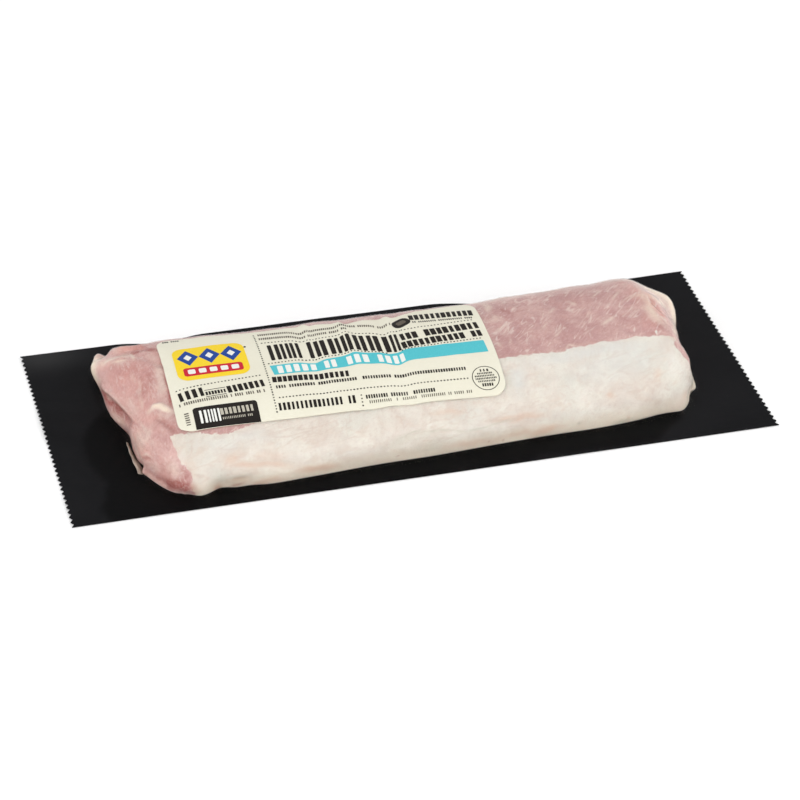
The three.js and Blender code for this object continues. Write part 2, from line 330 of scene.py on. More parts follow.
# How the meat is modelled over the plain form: line, half width and rise in millimetres. A place of
# two numbers is the pixel at which the camera sees it on the plain form, one of three is in millimetres
MOULDING = (
    # the roll of meat along the back of the left end, and the groove in front of it
    (((114.1, 355.2), (120.2, 352.9), (130.3, 349.8), (141.4, 347.3), (150.2, 344.6)), 3.0, 1.2),
    (((120.5, 353.9), (126, 352.4), (131.4, 350.7), (139.8, 349.4), (149, 350.3)), 1.2, -1.6),
    (((102.7, 365.7), (114.1, 361.5), (121.2, 358.7), (128.6, 355.4)), 2.0, 0.6),
    (((128.4, 355.7), (132.8, 358.9), (136.2, 360.5)), 0.9, 0.4),
    # the upper facet of the left end, the ridge at its edge and the hollow end face below it
    (((-126, 14, 18), (142.3, 391.2)), 8.0, -0.9),
    (((99, 385.2), (103, 387.1), (110, 392.8), (117.8, 400.1), (125.6, 408.8), (132.6, 416.7),
      (139, 424.5), (143.8, 429.9)), 1.1, 1.1),
    (((104.3, 394.8), (111.1, 404.9), (120.7, 414.6), (132, 425.5)), 2.4, -2.2),
    (((109.3, 410), (117.2, 420.2), (124.4, 428.8)), 2.2, 0.7),
    (((129.4, 426.1), (138.7, 440.1), (144.2, 451.8)), 4.0, 0.7),
    (((155.3, 363.6), (163.9, 376.9), (166.1, 395.6)), 3.0, 0.5),
    # the white fold and the red crease beside the label's left edge
    (((149.2, 411.8), (154.3, 406.7), (161, 405.8), (167.2, 408.5), (171.3, 412.6)), 1.4, 1.1),
    (((153.7, 415.1), (163.4, 421.8), (176.9, 432)), 1.5, -1.4),
    (((136.8, 428.5), (143.1, 439.9), (150.2, 449.4)), 1.3, 0.5),
    # wrinkles low on the left lobe and the notch above its nose
    (((139.5, 457.3), (146.1, 454.5), (152.2, 456.2)), 0.8, 0.4),
    (((141.6, 460.5), (146.6, 458.3), (152.6, 459.5)), 0.7, -0.3),
    (((-127.2, -32, 4), (147.7, 462.6), (154.4, 463.7)), 0.8, 0.3),
    (((145.4, 470.8), (158.2, 478.9), (169.2, 485.3)), 1.6, -0.5),
    (((143.4, 467.6),), 1.6, -1.4),
    # the corner of the foot at the front left
    (((-118.8, -47, 6.5), (184.5, 488.7)), 3.0, 0.8),
    # the right end: its pale rim, the folds inside it, the kink and the pointed tip
    (((646.3, 292.4), (652.3, 303), (662.9, 312.9), (669.4, 317.9)), 1.1, -0.9),
    (((644.5, 297.1), (648.5, 303.2), (659.1, 312.4), (669.1, 320.8)), 1.3, 0.5),
    (((672.2, 334), (129.5, -20.5, 22), (133, -20, 14)), 2.2, -0.9),
    (((675.8, 343), (128.4, -27.2, 21.6), (687.3, 359.2)), 1.4, -0.6),
    (((131, -28, 17.5),), 3.2, 0.7),
    (((691, 386.2), (129.4, -40, 3)), 2.6, -0.9),
    # soft folds down the front of the fat
    (((224.7, 465.2), (254.5, 464.3), (279.5, 464.3), (297.5, 466.1)), 1.8, -0.6),
    (((379.4, 450.3), (413.9, 433.6), (446.3, 426.7), (24, -49, 13)), 2.2, -0.5),
    (((479.7, 423.3), (511.4, 423.4), (526.9, 416.7)), 1.5, -0.5),
    (((511.8, 360.4), (515.1, 378.5), (511.8, 402)), 2.4, -0.5),
    (((660.6, 357), (663.1, 380.5)), 2.4, -0.4),
    (((84, -42, 16), (581.9, 415.5), (565.1, 427.8)), 3.0, 0.35),
    (((230.2, 481.6), (240.3, 481.3), (254.2, 478.1)), 1.4, -0.6),
)
# Pulls on the form: middle, reach along x, y and z, and move, in millimetres
PULLS = (
    ("ear", (-131.8, 46.3, 6.3), (2.8, 3, 3), (-0.3, 1.3, 2.1)),
    ("notch beside the ear", (-129.4, 43, 10.2), (2, 2.4, 2.4), (0, -0.9, -1.3)),
    ("start of the roll", (-125, 40, 13.8), (3.4, 4, 4), (-0.2, 0.8, 1.3)),
    ("roll behind the left end", (-122.5, 38, 16.6), (9, 5.5, 5.5), (-0.9, 0.4, 1.1)),
    ("rim below the ear", (-135.6, 38.5, 8), (4, 6, 4), (-1.0, 0, 0.5)),
    ("foot under the rim", (-136, 33, 0), (5, 12, 3.2), (2.6, 0, 0)),
    ("hollow behind the fin", (-130, -7, 0), (5, 9, 5), (1.8, 0, 0)),
    ("notch above the fin", (-128, -16, 1), (4, 4, 5), (-0.4, 0, 0)),
    ("hollow beside the fin", (-128, -29.4, 1.5), (3, 3, 3.5), (2.0, 0.2, 0)),
    ("nose", (-127.8, -33.4, 1.2), (2.2, 2.2, 2.2), (-0.9, -0.4, 0.2)),
    ("foot left of the front corner", (-111.5, -54.3, 0.5), (3.4, 4, 3), (0, 2.2, 0)),
    ("foot right of the front corner", (-96.5, -55, 1), (6, 8, 7), (0, 3.4, 0)),
    ("foot beyond it", (-85, -54.8, 1), (8, 8, 7), (0, 1.9, 0)),
    ("middle of the front foot", (-20, -52.5, 0), (30, 10, 9), (0, 1.7, 0)),
    ("foot right of the middle", (22, -50, 0), (22, 10, 9), (0, 0.7, 0)),
    ("right part of the front foot", (82, -46.5, 0), (22, 10, 9), (0, -1.2, 0)),
    ("foot before the right end", (114, -44.8, 0), (9, 8, 8), (0, 0.9, 0)),
    ("front right corner", (125, -43, 0.5), (4, 4, 5), (0.6, -0.5, 0)),
    ("pointed tip", (136.6, -27, 0.8), (3.2, 3.2, 3.2), (1.1, -1.6, 0.1)),
    ("foot below the tip", (134, -33, 0.5), (4, 5, 4), (-0.9, 0.6, 0)),
    ("flank above the tip", (135.2, -23, 12), (7, 7, 6), (-1.9, 0, -0.6)),
    ("kink above the tip", (134, -13, 18), (6, 6, 7), (-3.0, 0, -1.6)),
    ("bend below the kink", (138, -5, 12), (6, 5.5, 7), (-1.5, 0, -0.5)),
    ("side of the right end", (145, 11, 5), (8, 11, 9), (-2.3, 0, 0)),
    ("back shoulder on the right", (76, 31, 22), (26, 9, 9), (0, 0.8, 1.2)),
    ("rim of the right end", (139, 12, 20), (11, 11, 11), (-2.6, -0.8, -1.4)),
    ("back rim of the right end", (135, 31, 18.5), (7, 6, 6), (-0.6, 0, -1.6)),
)
# Size and height of the meat's unevenness
RELIEF_SIZES = ((15.0, 0.42), (5.5, 0.16), (2.2, 0.05))
FOOT_EASE = 1.5
MEAT_CLEARANCE = 0.02
# How far round the label the modelling eases in
LABEL_EASE = 5.0


def read_moulding():
    """The moulding with its lines in millimetres."""
    plain = plain_skin(MEAT_AROUND, MEAT_RISES, INNERMOST)
    read = picture_reader(plain, plain)
    return [(read(line), width, height) for line, width, height in MOULDING]


def moulded(rings, moulding, valley_share=1.0):
    """The plain form pulled and modelled. Film spans the valleys, so it takes only a share of them."""
    shaped = rings.copy()
    free = 1 - under_label(rings, LABEL_EASE)
    for _, middle, reach, move in PULLS:
        near = np.exp(-(np.linalg.norm((rings - np.array(middle, float)) / reach, axis=2)) ** 2)
        shaped += (free * near)[..., None] * np.array(move, float)
    normals = outward(rings)
    rise = np.zeros(rings.shape[:2])
    for line, width, height in moulding:
        away, along = line_distance(rings, line)
        ease = tapered(along) if len(line) > 1 else 1.0
        rise += height * (valley_share if height < 0 else 1) * ease * np.exp(-(away / width) ** 2)
    for seed, (size, height) in enumerate(RELIEF_SIZES):
        rise += height * coarse_noise(rings, size, seed + 1)
    foot_ease = np.clip((rings[..., 2] - SHEET_THICKNESS) / FOOT_EASE, 0, 1)
    shaped += normals * (rise * free * foot_ease)[..., None]
    shaped[..., 2] = np.maximum(shaped[..., 2], SHEET_THICKNESS + MEAT_CLEARANCE)
    shaped[0, :, 2] = SHEET_THICKNESS + MEAT_CLEARANCE
    return shaped


# The label's place

def arc_table():
    """For steps in x, the y reached at each distance round the loin from its crest."""
    xs = np.arange(-116, 48, 0.5)
    distances = np.arange(-46, 46.25, 0.25)
    table = np.empty((len(xs), len(distances)))
    offsets = np.arange(0, 52, 0.2)
    for j, x in enumerate(xs):
        crest = float(crest_for(x)[1])
        for side in (-1, 1):
            y = crest + side * offsets
            z = loin_top(np.full_like(y, x), y)
            gone = np.concatenate([[0], np.cumsum(np.hypot(np.diff(y), np.diff(z)))])
            here = distances * side >= 0
            table[j, here] = np.interp(np.abs(distances[here]), gone, y)
    return xs, distances, table


ARC_X, ARC_DISTANCES, ARC_Y = arc_table()


def y_round_loin(x, distance):
    """The y that is so far round the loin from its crest, negative towards the front."""
    at_x = np.clip((x - ARC_X[0]) / 0.5, 0, len(ARC_X) - 1.001)
    at_d = np.clip((distance - ARC_DISTANCES[0]) / 0.25, 0, len(ARC_DISTANCES) - 1.001)
    i, j = at_x.astype(int), at_d.astype(int)
    s, t = at_x - i, at_d - j
    low = ARC_Y[i, j] * (1 - t) + ARC_Y[i, j + 1] * t
    high = ARC_Y[i + 1, j] * (1 - t) + ARC_Y[i + 1, j + 1] * t
    return low * (1 - s) + high * s


def label_across(x, y):
    """How far a place is from the label's middle line, round the loin, near the label."""
    xs = np.clip(x, ARC_X[0], ARC_X[-1] - 0.01)
    j = np.clip(((xs - ARC_X[0]) / 0.5).astype(int), 0, len(ARC_X) - 1)
    across = np.empty(x.shape)
    flat_j, flat_y, flat_out = j.ravel(), y.ravel(), across.ravel()
    for row in np.unique(flat_j):
        here = flat_j == row
        flat_out[here] = np.interp(flat_y[here], ARC_Y[row], ARC_DISTANCES)
    drift = np.interp(xs - LABEL_LEFT, (0, LABEL_LENGTH), (LABEL_DRIFT_LEFT, LABEL_DRIFT_RIGHT))
    return flat_out.reshape(x.shape) - drift


# Creases where the film has gathered the label: u and lean of each, its half width, its rise, and
# the v where it starts and is full
LABEL_CREASES = (
    (66.0, 0.10, 1.9, 1.2, -14, 14),
    (71.5, 0.05, 2.4, -0.25, -8, 20),
    (86.5, -0.05, 2.2, 1.15, -12, 18),
    (91.5, -0.05, 2.0, -0.2, 2, 22),
    (104.5, 0.10, 2.1, 1.2, -22, 10),
    (110.0, 0.12, 2.8, -0.25, -10, 12),
    (22.0, 0.06, 6.0, 0.25, -10, 24),
    (128.0, -0.5, 3.0, 0.2, -30, 0),
)
DEEPEST_CREASE = -0.12
LABEL_CLEARANCE = 0.5
LABEL_THICKNESS = 0.25
# Beside the crest's left end the label bridges a small hollow: where that starts in x and is full, its
# middle and half width in y, the ease at its sides, and how much higher the paper lies there
BRIDGE_START = -103
BRIDGE_FULL = -108
BRIDGE_MIDDLE = 3
BRIDGE_HALF_WIDTH = 16
BRIDGE_EASE = 6
BRIDGE_RISE = 0.04


def eased_top(x, y):
    """The loin's top as the label meets it, evened out beside the crest's left end."""
    top = loin_top(x, y)
    even = sum(loin_top(x, y + shift) for shift in (-3, -1.5, 1.5, 3)) / 4
    along = np.clip((BRIDGE_START - x) / (BRIDGE_START - BRIDGE_FULL), 0, 1)
    across = np.clip((BRIDGE_HALF_WIDTH - np.abs(y - BRIDGE_MIDDLE)) / BRIDGE_EASE, 0, 1)
    return top + along * across * (0.5 * (top + even) - top + BRIDGE_RISE)


def on_label(u, v, lift):
    """A place u along and v across the label, lifted from the loin along its normal."""
    u, v, lift = np.broadcast_arrays(*[np.asarray(value, float) for value in (u, v, lift)])
    x = LABEL_LEFT + u + v * LABEL_LEAN
    drift = np.interp(u, (0, LABEL_LENGTH), (LABEL_DRIFT_LEFT, LABEL_DRIFT_RIGHT))
    y = y_round_loin(x, v + drift)
    step = 0.25
    slope_x = (eased_top(x + step, y) - eased_top(x - step, y)) / (2 * step)
    slope_y = (eased_top(x, y + step) - eased_top(x, y - step)) / (2 * step)
    normal = np.stack([-slope_x, -slope_y, np.ones_like(x)], axis=-1)
    normal /= np.linalg.norm(normal, axis=-1, keepdims=True)
    crease = np.zeros_like(x)
    for at, lean, wide, rise, start, full in LABEL_CREASES:
        grown = np.clip((v - start) / (full - start), 0, 1)
        crease += rise * grown * grown * (3 - 2 * grown) * np.exp(-(((u - at - lean * v) / wide) ** 2))
    crease = np.maximum(crease, DEEPEST_CREASE)
    base = np.stack([x, y, eased_top(x, y)], axis=-1)
    return base + normal * (LABEL_CLEARANCE + lift + crease)[..., None]


# Meshes and materials

def new_mesh_object(name, points, faces, material=None, smooth=True):
    """A mesh object from points in millimetres."""
    mesh = bpy.data.meshes.new(name)
    mesh.from_pydata((np.asarray(points).reshape(-1, 3) * MM).tolist(), [], faces)
    mesh.update()
    for polygon in mesh.polygons:
        polygon.use_smooth = smooth
    made = bpy.data.objects.new(name, mesh)
    bpy.context.collection.objects.link(made)
    if material is not None:
        mesh.materials.append(material)
    return made


def ring_faces(rows, around, start=0):
    """Quads between rings of points, each ring a row of the same length."""
    faces = []
    for row in range(rows - 1):
        low = start + row * around
        for i in range(around):
            following = (i + 1) % around
            faces.append((low + i, low + following, low + around + following, low + around + i))
    return faces


def laced_ring(points, start, count):
    """Closes a long ring with faces from side to side, laced from its leftmost point."""
    ring = np.asarray(points)[start:start + count]
    leftmost = int(np.argmin(ring[:, 0]))
    ahead = leftmost + 1
    behind = leftmost - 1 + count
    faces = [(start + behind % count, start + leftmost, start + ahead % count)]
    while behind - ahead > 1:
        ahead_gap = np.linalg.norm(ring[(ahead + 1) % count] - ring[behind % count])
        behind_gap = np.linalg.norm(ring[ahead % count] - ring[(behind - 1) % count])
        step_ahead = ahead_gap < behind_gap
        new = ahead + 1 if step_ahead else behind - 1
        faces.append((start + behind % count, start + ahead % count, start + new % count))
        if step_ahead:
            ahead = new
        else:
            behind = new
    return faces


def add_node(tree, kind, inputs=None, **settings):
    made = tree.nodes.new(kind)
    for name, value in settings.items():
        setattr(made, name, value)
    for key, value in (inputs or {}).items():
        if isinstance(value, bpy.types.NodeSocket):
            tree.links.new(value, made.inputs[key])
        else:
            made.inputs[key].default_value = value
    return made


def new_material(name):
    """A material with only its output, and its tree."""
    material = bpy.data.materials.new(name)
    material.use_nodes = True
    tree = material.node_tree
    tree.nodes.clear()
    output = add_node(tree, "ShaderNodeOutputMaterial")
    return material, tree, output.inputs["Surface"]


def object_place(tree):
    return add_node(tree, "ShaderNodeTexCoord").outputs["Object"]


def stretched(tree, place, turn, scale):
    """The place turned about Z and then stretched, for patterns with a grain."""
    turned = add_node(tree, "ShaderNodeMapping", {0: place, 2: (0, 0, turn)}, vector_type="TEXTURE")
    return add_node(tree, "ShaderNodeMapping", {0: turned.outputs[0], 3: scale}).outputs[0]


def noise_value(tree, place, scale, detail=3.0, rough=0.5, warp=0.0):
    made = add_node(tree, "ShaderNodeTexNoise", {"Vector": place, "Scale": scale, "Detail": detail,
                                                 "Roughness": rough, "Distortion": warp})
    return made.outputs["Fac"]


def spread(tree, value, low, high, to_low=0.0, to_high=1.0, smooth=True):
    """The value from low to high brought to a new range, eased at both ends."""
    made = add_node(tree, "ShaderNodeMapRange", {0: value, 1: low, 2: high, 3: to_low, 4: to_high})
    made.interpolation_type = "SMOOTHSTEP" if smooth else "LINEAR"
    return made.outputs[0]


def maths(tree, operation, a, b=0.0):
    return add_node(tree, "ShaderNodeMath", {0: a, 1: b}, operation=operation).outputs[0]


def blended(tree, share, a, b, kind="MIX"):
    """Colour a, and colour b where the share is 1."""
    made = add_node(tree, "ShaderNodeMix", {0: share, 6: a, 7: b}, data_type="RGBA", blend_type=kind)
    return made.outputs[2]


def attribute(tree, name, output="Fac"):
    return add_node(tree, "ShaderNodeAttribute", attribute_name=name).outputs[output]


def bumped(tree, height, distance, strength=1.0, normal=None):
    inputs = {"Height": height, "Distance": distance, "Strength": strength}
    if normal is not None:
        inputs["Normal"] = normal
    return add_node(tree, "ShaderNodeBump", inputs).outputs["Normal"]


def streak_share(tree, place, turn, scale, line_width, patch_scale):
    """Short thin lines of fat that run one way through the lean, as a share from 0 to 1."""
    grain = stretched(tree, place, math.radians(turn), (0.11, 1.0, 1.0))
    waves = noise_value(tree, grain, scale, 1.0, 0.4)
    from_line = maths(tree, "ABSOLUTE", maths(tree, "SUBTRACT", waves, 0.5))
    line = spread(tree, from_line, 0.0, line_width, 1.0, 0.0)
    patches = spread(tree, noise_value(tree, place, patch_scale, 3.0, 0.5, 0.6), 0.5, 0.6)
    return maths(tree, "MULTIPLY", line, patches)


def pork_material():
    """Raw lean and fat, told apart by the distance from the line between them."""
    material, tree, surface = new_material("pork")
    place = object_place(tree)
    mottle = noise_value(tree, place, 95.0, 4.0, 0.55, 0.6)
    fine = noise_value(tree, place, 520.0, 4.0, 0.6)
    ragged = noise_value(tree, place, 330.0, 3.0, 0.6)
    grit = noise_value(tree, stretched(tree, place, math.radians(42), (0.45, 1.0, 1.0)), 1300.0, 2.0, 0.6)
    soft = noise_value(tree, place, 42.0, 3.0, 0.5)
    blotch = noise_value(tree, stretched(tree, place, 0.2, (0.5, 1.0, 1.0)), 210.0, 4.0, 0.6, 0.5)
    fibre = noise_value(tree, stretched(tree, place, math.radians(42), (0.2, 1.0, 1.0)), 900.0, 3.0, 0.6, 0.3)
    across, back, height = add_node(tree, "ShaderNodeSeparateXYZ", {0: place}).outputs
    leftness = spread(tree, across, -0.114, -0.1, 1.0, 0.0)
    slanting = maths(tree, "MAXIMUM", streak_share(tree, place, 40, 300.0, 0.035, 130.0),
                     streak_share(tree, place, 52, 430.0, 0.04, 190.0))
    upright = maths(tree, "MAXIMUM", streak_share(tree, place, 98, 420.0, 0.05, 150.0),
                    streak_share(tree, place, 84, 700.0, 0.06, 230.0))
    streaks = maths(tree, "ADD", maths(tree, "MULTIPLY", upright, maths(tree, "MULTIPLY", leftness, 0.5)),
                    maths(tree, "MULTIPLY", slanting, maths(tree, "SUBTRACT", 1.0, leftness)))
    veins = maths(tree, "MAXIMUM", streak_share(tree, place, 14, 260.0, 0.045, 70.0),
                  streak_share(tree, place, 68, 340.0, 0.045, 90.0))

    lean = blended(tree, spread(tree, mottle, 0.32, 0.68), paint(195, 148, 146), paint(216, 176, 171))

    # The tints: besides the flesh's own colours, pale and cream also carry painted highlights, and deep also
    # carries painted shade
    tints = add_node(tree, "ShaderNodeAttribute", attribute_name="tints")
    parts = add_node(tree, "ShaderNodeSeparateColor", {0: tints.outputs["Color"]})
    roughen = spread(tree, mottle, 0.25, 0.75, 0.78, 1.12, smooth=False)
    pale_and_highlight = maths(tree, "MULTIPLY", parts.outputs[0], roughen)
    deep_and_shade = maths(tree, "MULTIPLY", parts.outputs[1], roughen)
    warm = maths(tree, "MULTIPLY", parts.outputs[2], roughen)
    grey = maths(tree, "MULTIPLY", tints.outputs["Alpha"], roughen)
    cream_and_highlight = maths(tree, "MULTIPLY", attribute(tree, "cream_and_highlight"), roughen)
    lean = blended(tree, warm, lean, paint(232, 173, 163))
    lean = blended(tree, deep_and_shade, lean, paint(166, 88, 82))
    lean = blended(tree, grey, lean, paint(204, 174, 160))
    lean = blended(tree, pale_and_highlight, lean, paint(233, 209, 197))
    lean = blended(tree, spread(tree, fibre, 0.4, 0.75, 0.0, 0.3), lean, paint(226, 188, 181))
    lean = blended(tree, spread(tree, fine, 0.45, 0.7, 0.0, 0.24), lean, paint(181, 129, 126))
    lean = blended(tree, spread(tree, grit, 0.5, 0.7, 0.0, 0.2), lean, paint(176, 122, 118))
    lean = blended(tree, spread(tree, grit, 0.3, 0.5, 0.2, 0.0), lean, paint(232, 202, 196))
    lean = blended(tree, maths(tree, "MULTIPLY", streaks, 0.72), lean, paint(236, 214, 207))
    # painted sheen of the film: the upper back of the lean towards the right made lighter
    right_part = maths(tree, "MULTIPLY", spread(tree, across, -0.01, 0.05),
                       spread(tree, height, 0.012, 0.021))
    crest = maths(tree, "MULTIPLY", spread(tree, back, 0.0215, 0.029, 0.0, 0.75), right_part)
    lean = blended(tree, maths(tree, "MULTIPLY", crest, roughen), lean, paint(230, 201, 196))
    lean = blended(tree, cream_and_highlight, lean, paint(250, 232, 212))

    fat = blended(tree, spread(tree, mottle, 0.34, 0.66), paint(239, 232, 222), paint(228, 216, 206))
    fat = blended(tree, spread(tree, soft, 0.45, 0.7, 0.0, 0.6), fat, paint(227, 224, 215))
    fat = blended(tree, spread(tree, blotch, 0.52, 0.68, 0.0, 0.45), fat, paint(226, 207, 193))
    fat = blended(tree, spread(tree, fine, 0.5, 0.75, 0.0, 0.4), fat, paint(218, 202, 191))
    fat = blended(tree, maths(tree, "MULTIPLY", veins, 0.4), fat, paint(216, 194, 182))
    fat = blended(tree, spread(tree, grit, 0.5, 0.7, 0.0, 0.22), fat, paint(206, 186, 174))
    # the fat lighter and warmer towards its foot: a warm tint of its own, lightened as painted light against
    # the shade there
    low = spread(tree, height, 0.0015, 0.011, 0.75, 0.0)
    fat = blended(tree, low, fat, paint(248, 233, 214))
    # cool white where the pale tint lies on the fat, chiefly the painted highlight of the film along its top
    fat = blended(tree, pale_and_highlight, fat, paint(228, 230, 228))
    fat = blended(tree, warm, fat, paint(228, 192, 170))
    fat = blended(tree, deep_and_shade, fat, paint(190, 138, 124))
    fat = blended(tree, grey, fat, paint(206, 200, 184))
    fat = blended(tree, cream_and_highlight, fat, paint(250, 240, 230))

    edge = attribute(tree, "fat_edge")
    wobble = maths(tree, "MULTIPLY", maths(tree, "SUBTRACT", ragged, 0.5), 3.4)
    fat_share = spread(tree, maths(tree, "ADD", edge, wobble), -0.3, 0.3)
    colour = blended(tree, fat_share, lean, fat)

    relief = maths(tree, "ADD", maths(tree, "MULTIPLY", fine, 0.6), maths(tree, "MULTIPLY", fibre, 0.4))
    normal = bumped(tree, relief, 0.0004, 0.6)
    rough = spread(tree, mottle, 0.3, 0.7, 0.45, 0.58, smooth=False)
    shader = add_node(tree, "ShaderNodeBsdfPrincipled", {
        "Base Color": colour, "Roughness": rough, "Normal": normal, "Specular IOR Level": 0.3,
        "Subsurface Weight": 0.1, "Subsurface Radius": (1.0, 0.45, 0.3), "Subsurface Scale": 0.0015})
    tree.links.new(shader.outputs[0], surface)
    return material


def clear_film_material():
    """Thin clear film: see-through, with a soft gloss that dies away where it is bonded to the sheet."""
    material, tree, surface = new_material("clear_film")
    place = object_place(tree)
    crinkle = noise_value(tree, place, 110.0, 3.0, 0.5, 0.8)
    fine = noise_value(tree, place, 900.0, 2.0, 0.5)
    height = maths(tree, "ADD", crinkle, maths(tree, "MULTIPLY", fine, 0.12))
    normal = bumped(tree, height, 0.0009, 0.35)
    facing = add_node(tree, "ShaderNodeLayerWeight", {"Blend": 0.5, "Normal": normal}).outputs["Facing"]
    grazing = maths(tree, "POWER", facing, 5.0)
    each_side = spread(tree, grazing, 0.0, 1.0, 0.012, 0.2, smooth=False)
    gloss = maths(tree, "MULTIPLY", each_side, attribute(tree, "loose"))
    rough = spread(tree, crinkle, 0.3, 0.7, 0.24, 0.36, smooth=False)
    clear = add_node(tree, "ShaderNodeBsdfTransparent", {"Color": (0.985, 0.985, 0.98, 1)})
    glossy = add_node(tree, "ShaderNodeBsdfGlossy", {"Color": (1, 1, 1, 1), "Roughness": rough,
                                                     "Normal": normal})
    mixed = add_node(tree, "ShaderNodeMixShader", {0: gloss, 1: clear.outputs[0], 2: glossy.outputs[0]})
    tree.links.new(mixed.outputs[0], surface)
    return material


def milky_film_material():
    """Film folded on itself, so that it turns whitish."""
    material, tree, surface = new_material("folded_film")
    place = object_place(tree)
    streaks = noise_value(tree, stretched(tree, place, 0, (1.0, 0.3, 1.0)), 700.0, 3.0)
    colour = blended(tree, spread(tree, streaks, 0.3, 0.7), paint(176, 164, 150), paint(226, 214, 198))
    shader = add_node(tree, "ShaderNodeBsdfPrincipled", {"Base Color": colour, "Roughness": 0.3})
    clear = add_node(tree, "ShaderNodeBsdfTransparent", {"Color": (0.97, 0.97, 0.96, 1)})
    share = spread(tree, streaks, 0.3, 0.75, 0.85, 1.0)
    mixed = add_node(tree, "ShaderNodeMixShader", {0: share, 1: clear.outputs[0], 2: shader.outputs[0]})
    tree.links.new(mixed.outputs[0], surface)
    return material


def backing_material():
    """Black plastic with film bonded over it: satin, with duller and darker places near the meat, and a
    painted glare at its back left corner.
    """
    material, tree, surface = new_material("black_backing")
    place = object_place(tree)
    cloud = noise_value(tree, place, 22.0, 4.0, 0.55, 0.8)
    fine = noise_value(tree, place, 1500.0, 2.0, 0.5)
    colour = blended(tree, spread(tree, cloud, 0.3, 0.7), paint(22, 22, 24), paint(27, 27, 29))
    colour = blended(tree, attribute(tree, "held"), colour, paint(12, 12, 13))
    # painted glare: the film over the back left corner made lighter, standing in for a reflection
    colour = blended(tree, attribute(tree, "painted_glare"), colour, paint(50, 50, 51))
    relief = maths(tree, "ADD", maths(tree, "MULTIPLY", cloud, 1.0), maths(tree, "MULTIPLY", fine, 0.03))
    normal = bumped(tree, relief, 0.0012, 0.5)
    rough = spread(tree, cloud, 0.3, 0.7, 0.40, 0.5, smooth=False)
    shader = add_node(tree, "ShaderNodeBsdfPrincipled", {
        "Base Color": colour, "Roughness": rough, "Normal": normal, "Specular IOR Level": 0.03})
    tree.links.new(shader.outputs[0], surface)
    return material


def paper_material():
    """Cream label paper with a faint fibre."""
    material, tree, surface = new_material("label_paper")
    place = object_place(tree)
    fibre = noise_value(tree, stretched(tree, place, 0.1, (0.4, 1.0, 1.0)), 1600.0, 4.0, 0.65)
    cloud = noise_value(tree, place, 30.0, 3.0, 0.5)
    colour = blended(tree, spread(tree, fibre, 0.3, 0.7), paint(235, 231, 211), paint(239, 235, 217))
    colour = blended(tree, spread(tree, cloud, 0.4, 0.75, 0.0, 0.6), colour, paint(231, 226, 206))
    gathers = noise_value(tree, stretched(tree, place, 0.15, (1.0, 0.35, 1.0)), 150.0, 2.0, 0.5, 0.4)
    normal = bumped(tree, fibre, 0.00006, 0.5, bumped(tree, gathers, 0.0003, 0.5))
    shader = add_node(tree, "ShaderNodeBsdfPrincipled", {
        "Base Color": colour, "Roughness": 0.58, "Normal": normal, "Specular IOR Level": 0.35})
    tree.links.new(shader.outputs[0], surface)
    return material


def ink_material(name, light, dark):
    """Printing ink that lets a little of the paper's fibre show."""
    material, tree, surface = new_material(name)
    place = object_place(tree)
    fibre = noise_value(tree, place, 1900.0, 3.0, 0.6)
    colour = blended(tree, spread(tree, fibre, 0.35, 0.75), paint(*dark), paint(*light))
    shader = add_node(tree, "ShaderNodeBsdfPrincipled", {
        "Base Color": colour, "Roughness": 0.5, "Specular IOR Level": 0.15})
    tree.links.new(shader.outputs[0], surface)
    return material


# The meat

# In these tables a place of two numbers is the pixel at which the camera sees it on the meat, and one
# of three is in millimetres on the plain form.
# The line between fat and lean, from the foot at the left, under the label, to the foot at the right
FAT_LINE = (
    (195.3, 495.4), (194.1, 492.1), (191.7, 488.6), (192.3, 481.5), (189.7, 472.9),
    (186.1, 466.5), (181.1, 462.9), (176.8, 452.9), (172.7, 444.2),
    (170.1, 436.4), (178.2, 433.9), (184.8, 433.6), (196.5, 432.5), (208.1, 433.5),
    (219.7, 434), (229, 432.8), (238.3, 429.7), (252.3, 424.5), (263.4, 417.5),
    (333.2, 393.2), (504.4, 358.2), (516.1, 356.5),
    (519.5, 354.9), (535.7, 354), (558.2, 351.9), (563.8, 350.8), (569.2, 348.5),
    (578, 346.6), (582.8, 347), (591, 344.5), (603.7, 341.6), (609, 340.2),
    (614.3, 341.2), (629, 338.8), (633.8, 336.4), (642, 337.1), (653, 335.7),
    (661.5, 335.2), (672.3, 337), (130, -22.6, 23), (134, -23.5, 12), (137.2, -21, 0.5),
)
# Islands of fat in the lean, and of lean in the fat: line and half width
FAT_ISLANDS = (
    (((656, 331.4), (656.7, 334.2)), 0.3),
)
LEAN_ISLANDS = (
    (((183.1, 469.2), (186.1, 475.6), (182.9, 479)), 1.9),
    (((677.3, 345.4), (683.1, 353.1), (131.4, -27.8, 17.2)), 2.6),
)
# Corners in plan that close the fat's side of the line, clear of the meat
FAT_SIDE = ((160, -22), (160, -90), (-109.5, -90))
# Kinds of tint. Pale is fat in the lean and also painted highlight; deep is deep red flesh and also painted
# shade in creases and under edges; cream is the flesh's cream, brightened as painted highlight
PALE_AND_HIGHLIGHT, DEEP_AND_SHADE, WARM, GREY, CREAM_AND_HIGHLIGHT = range(5)
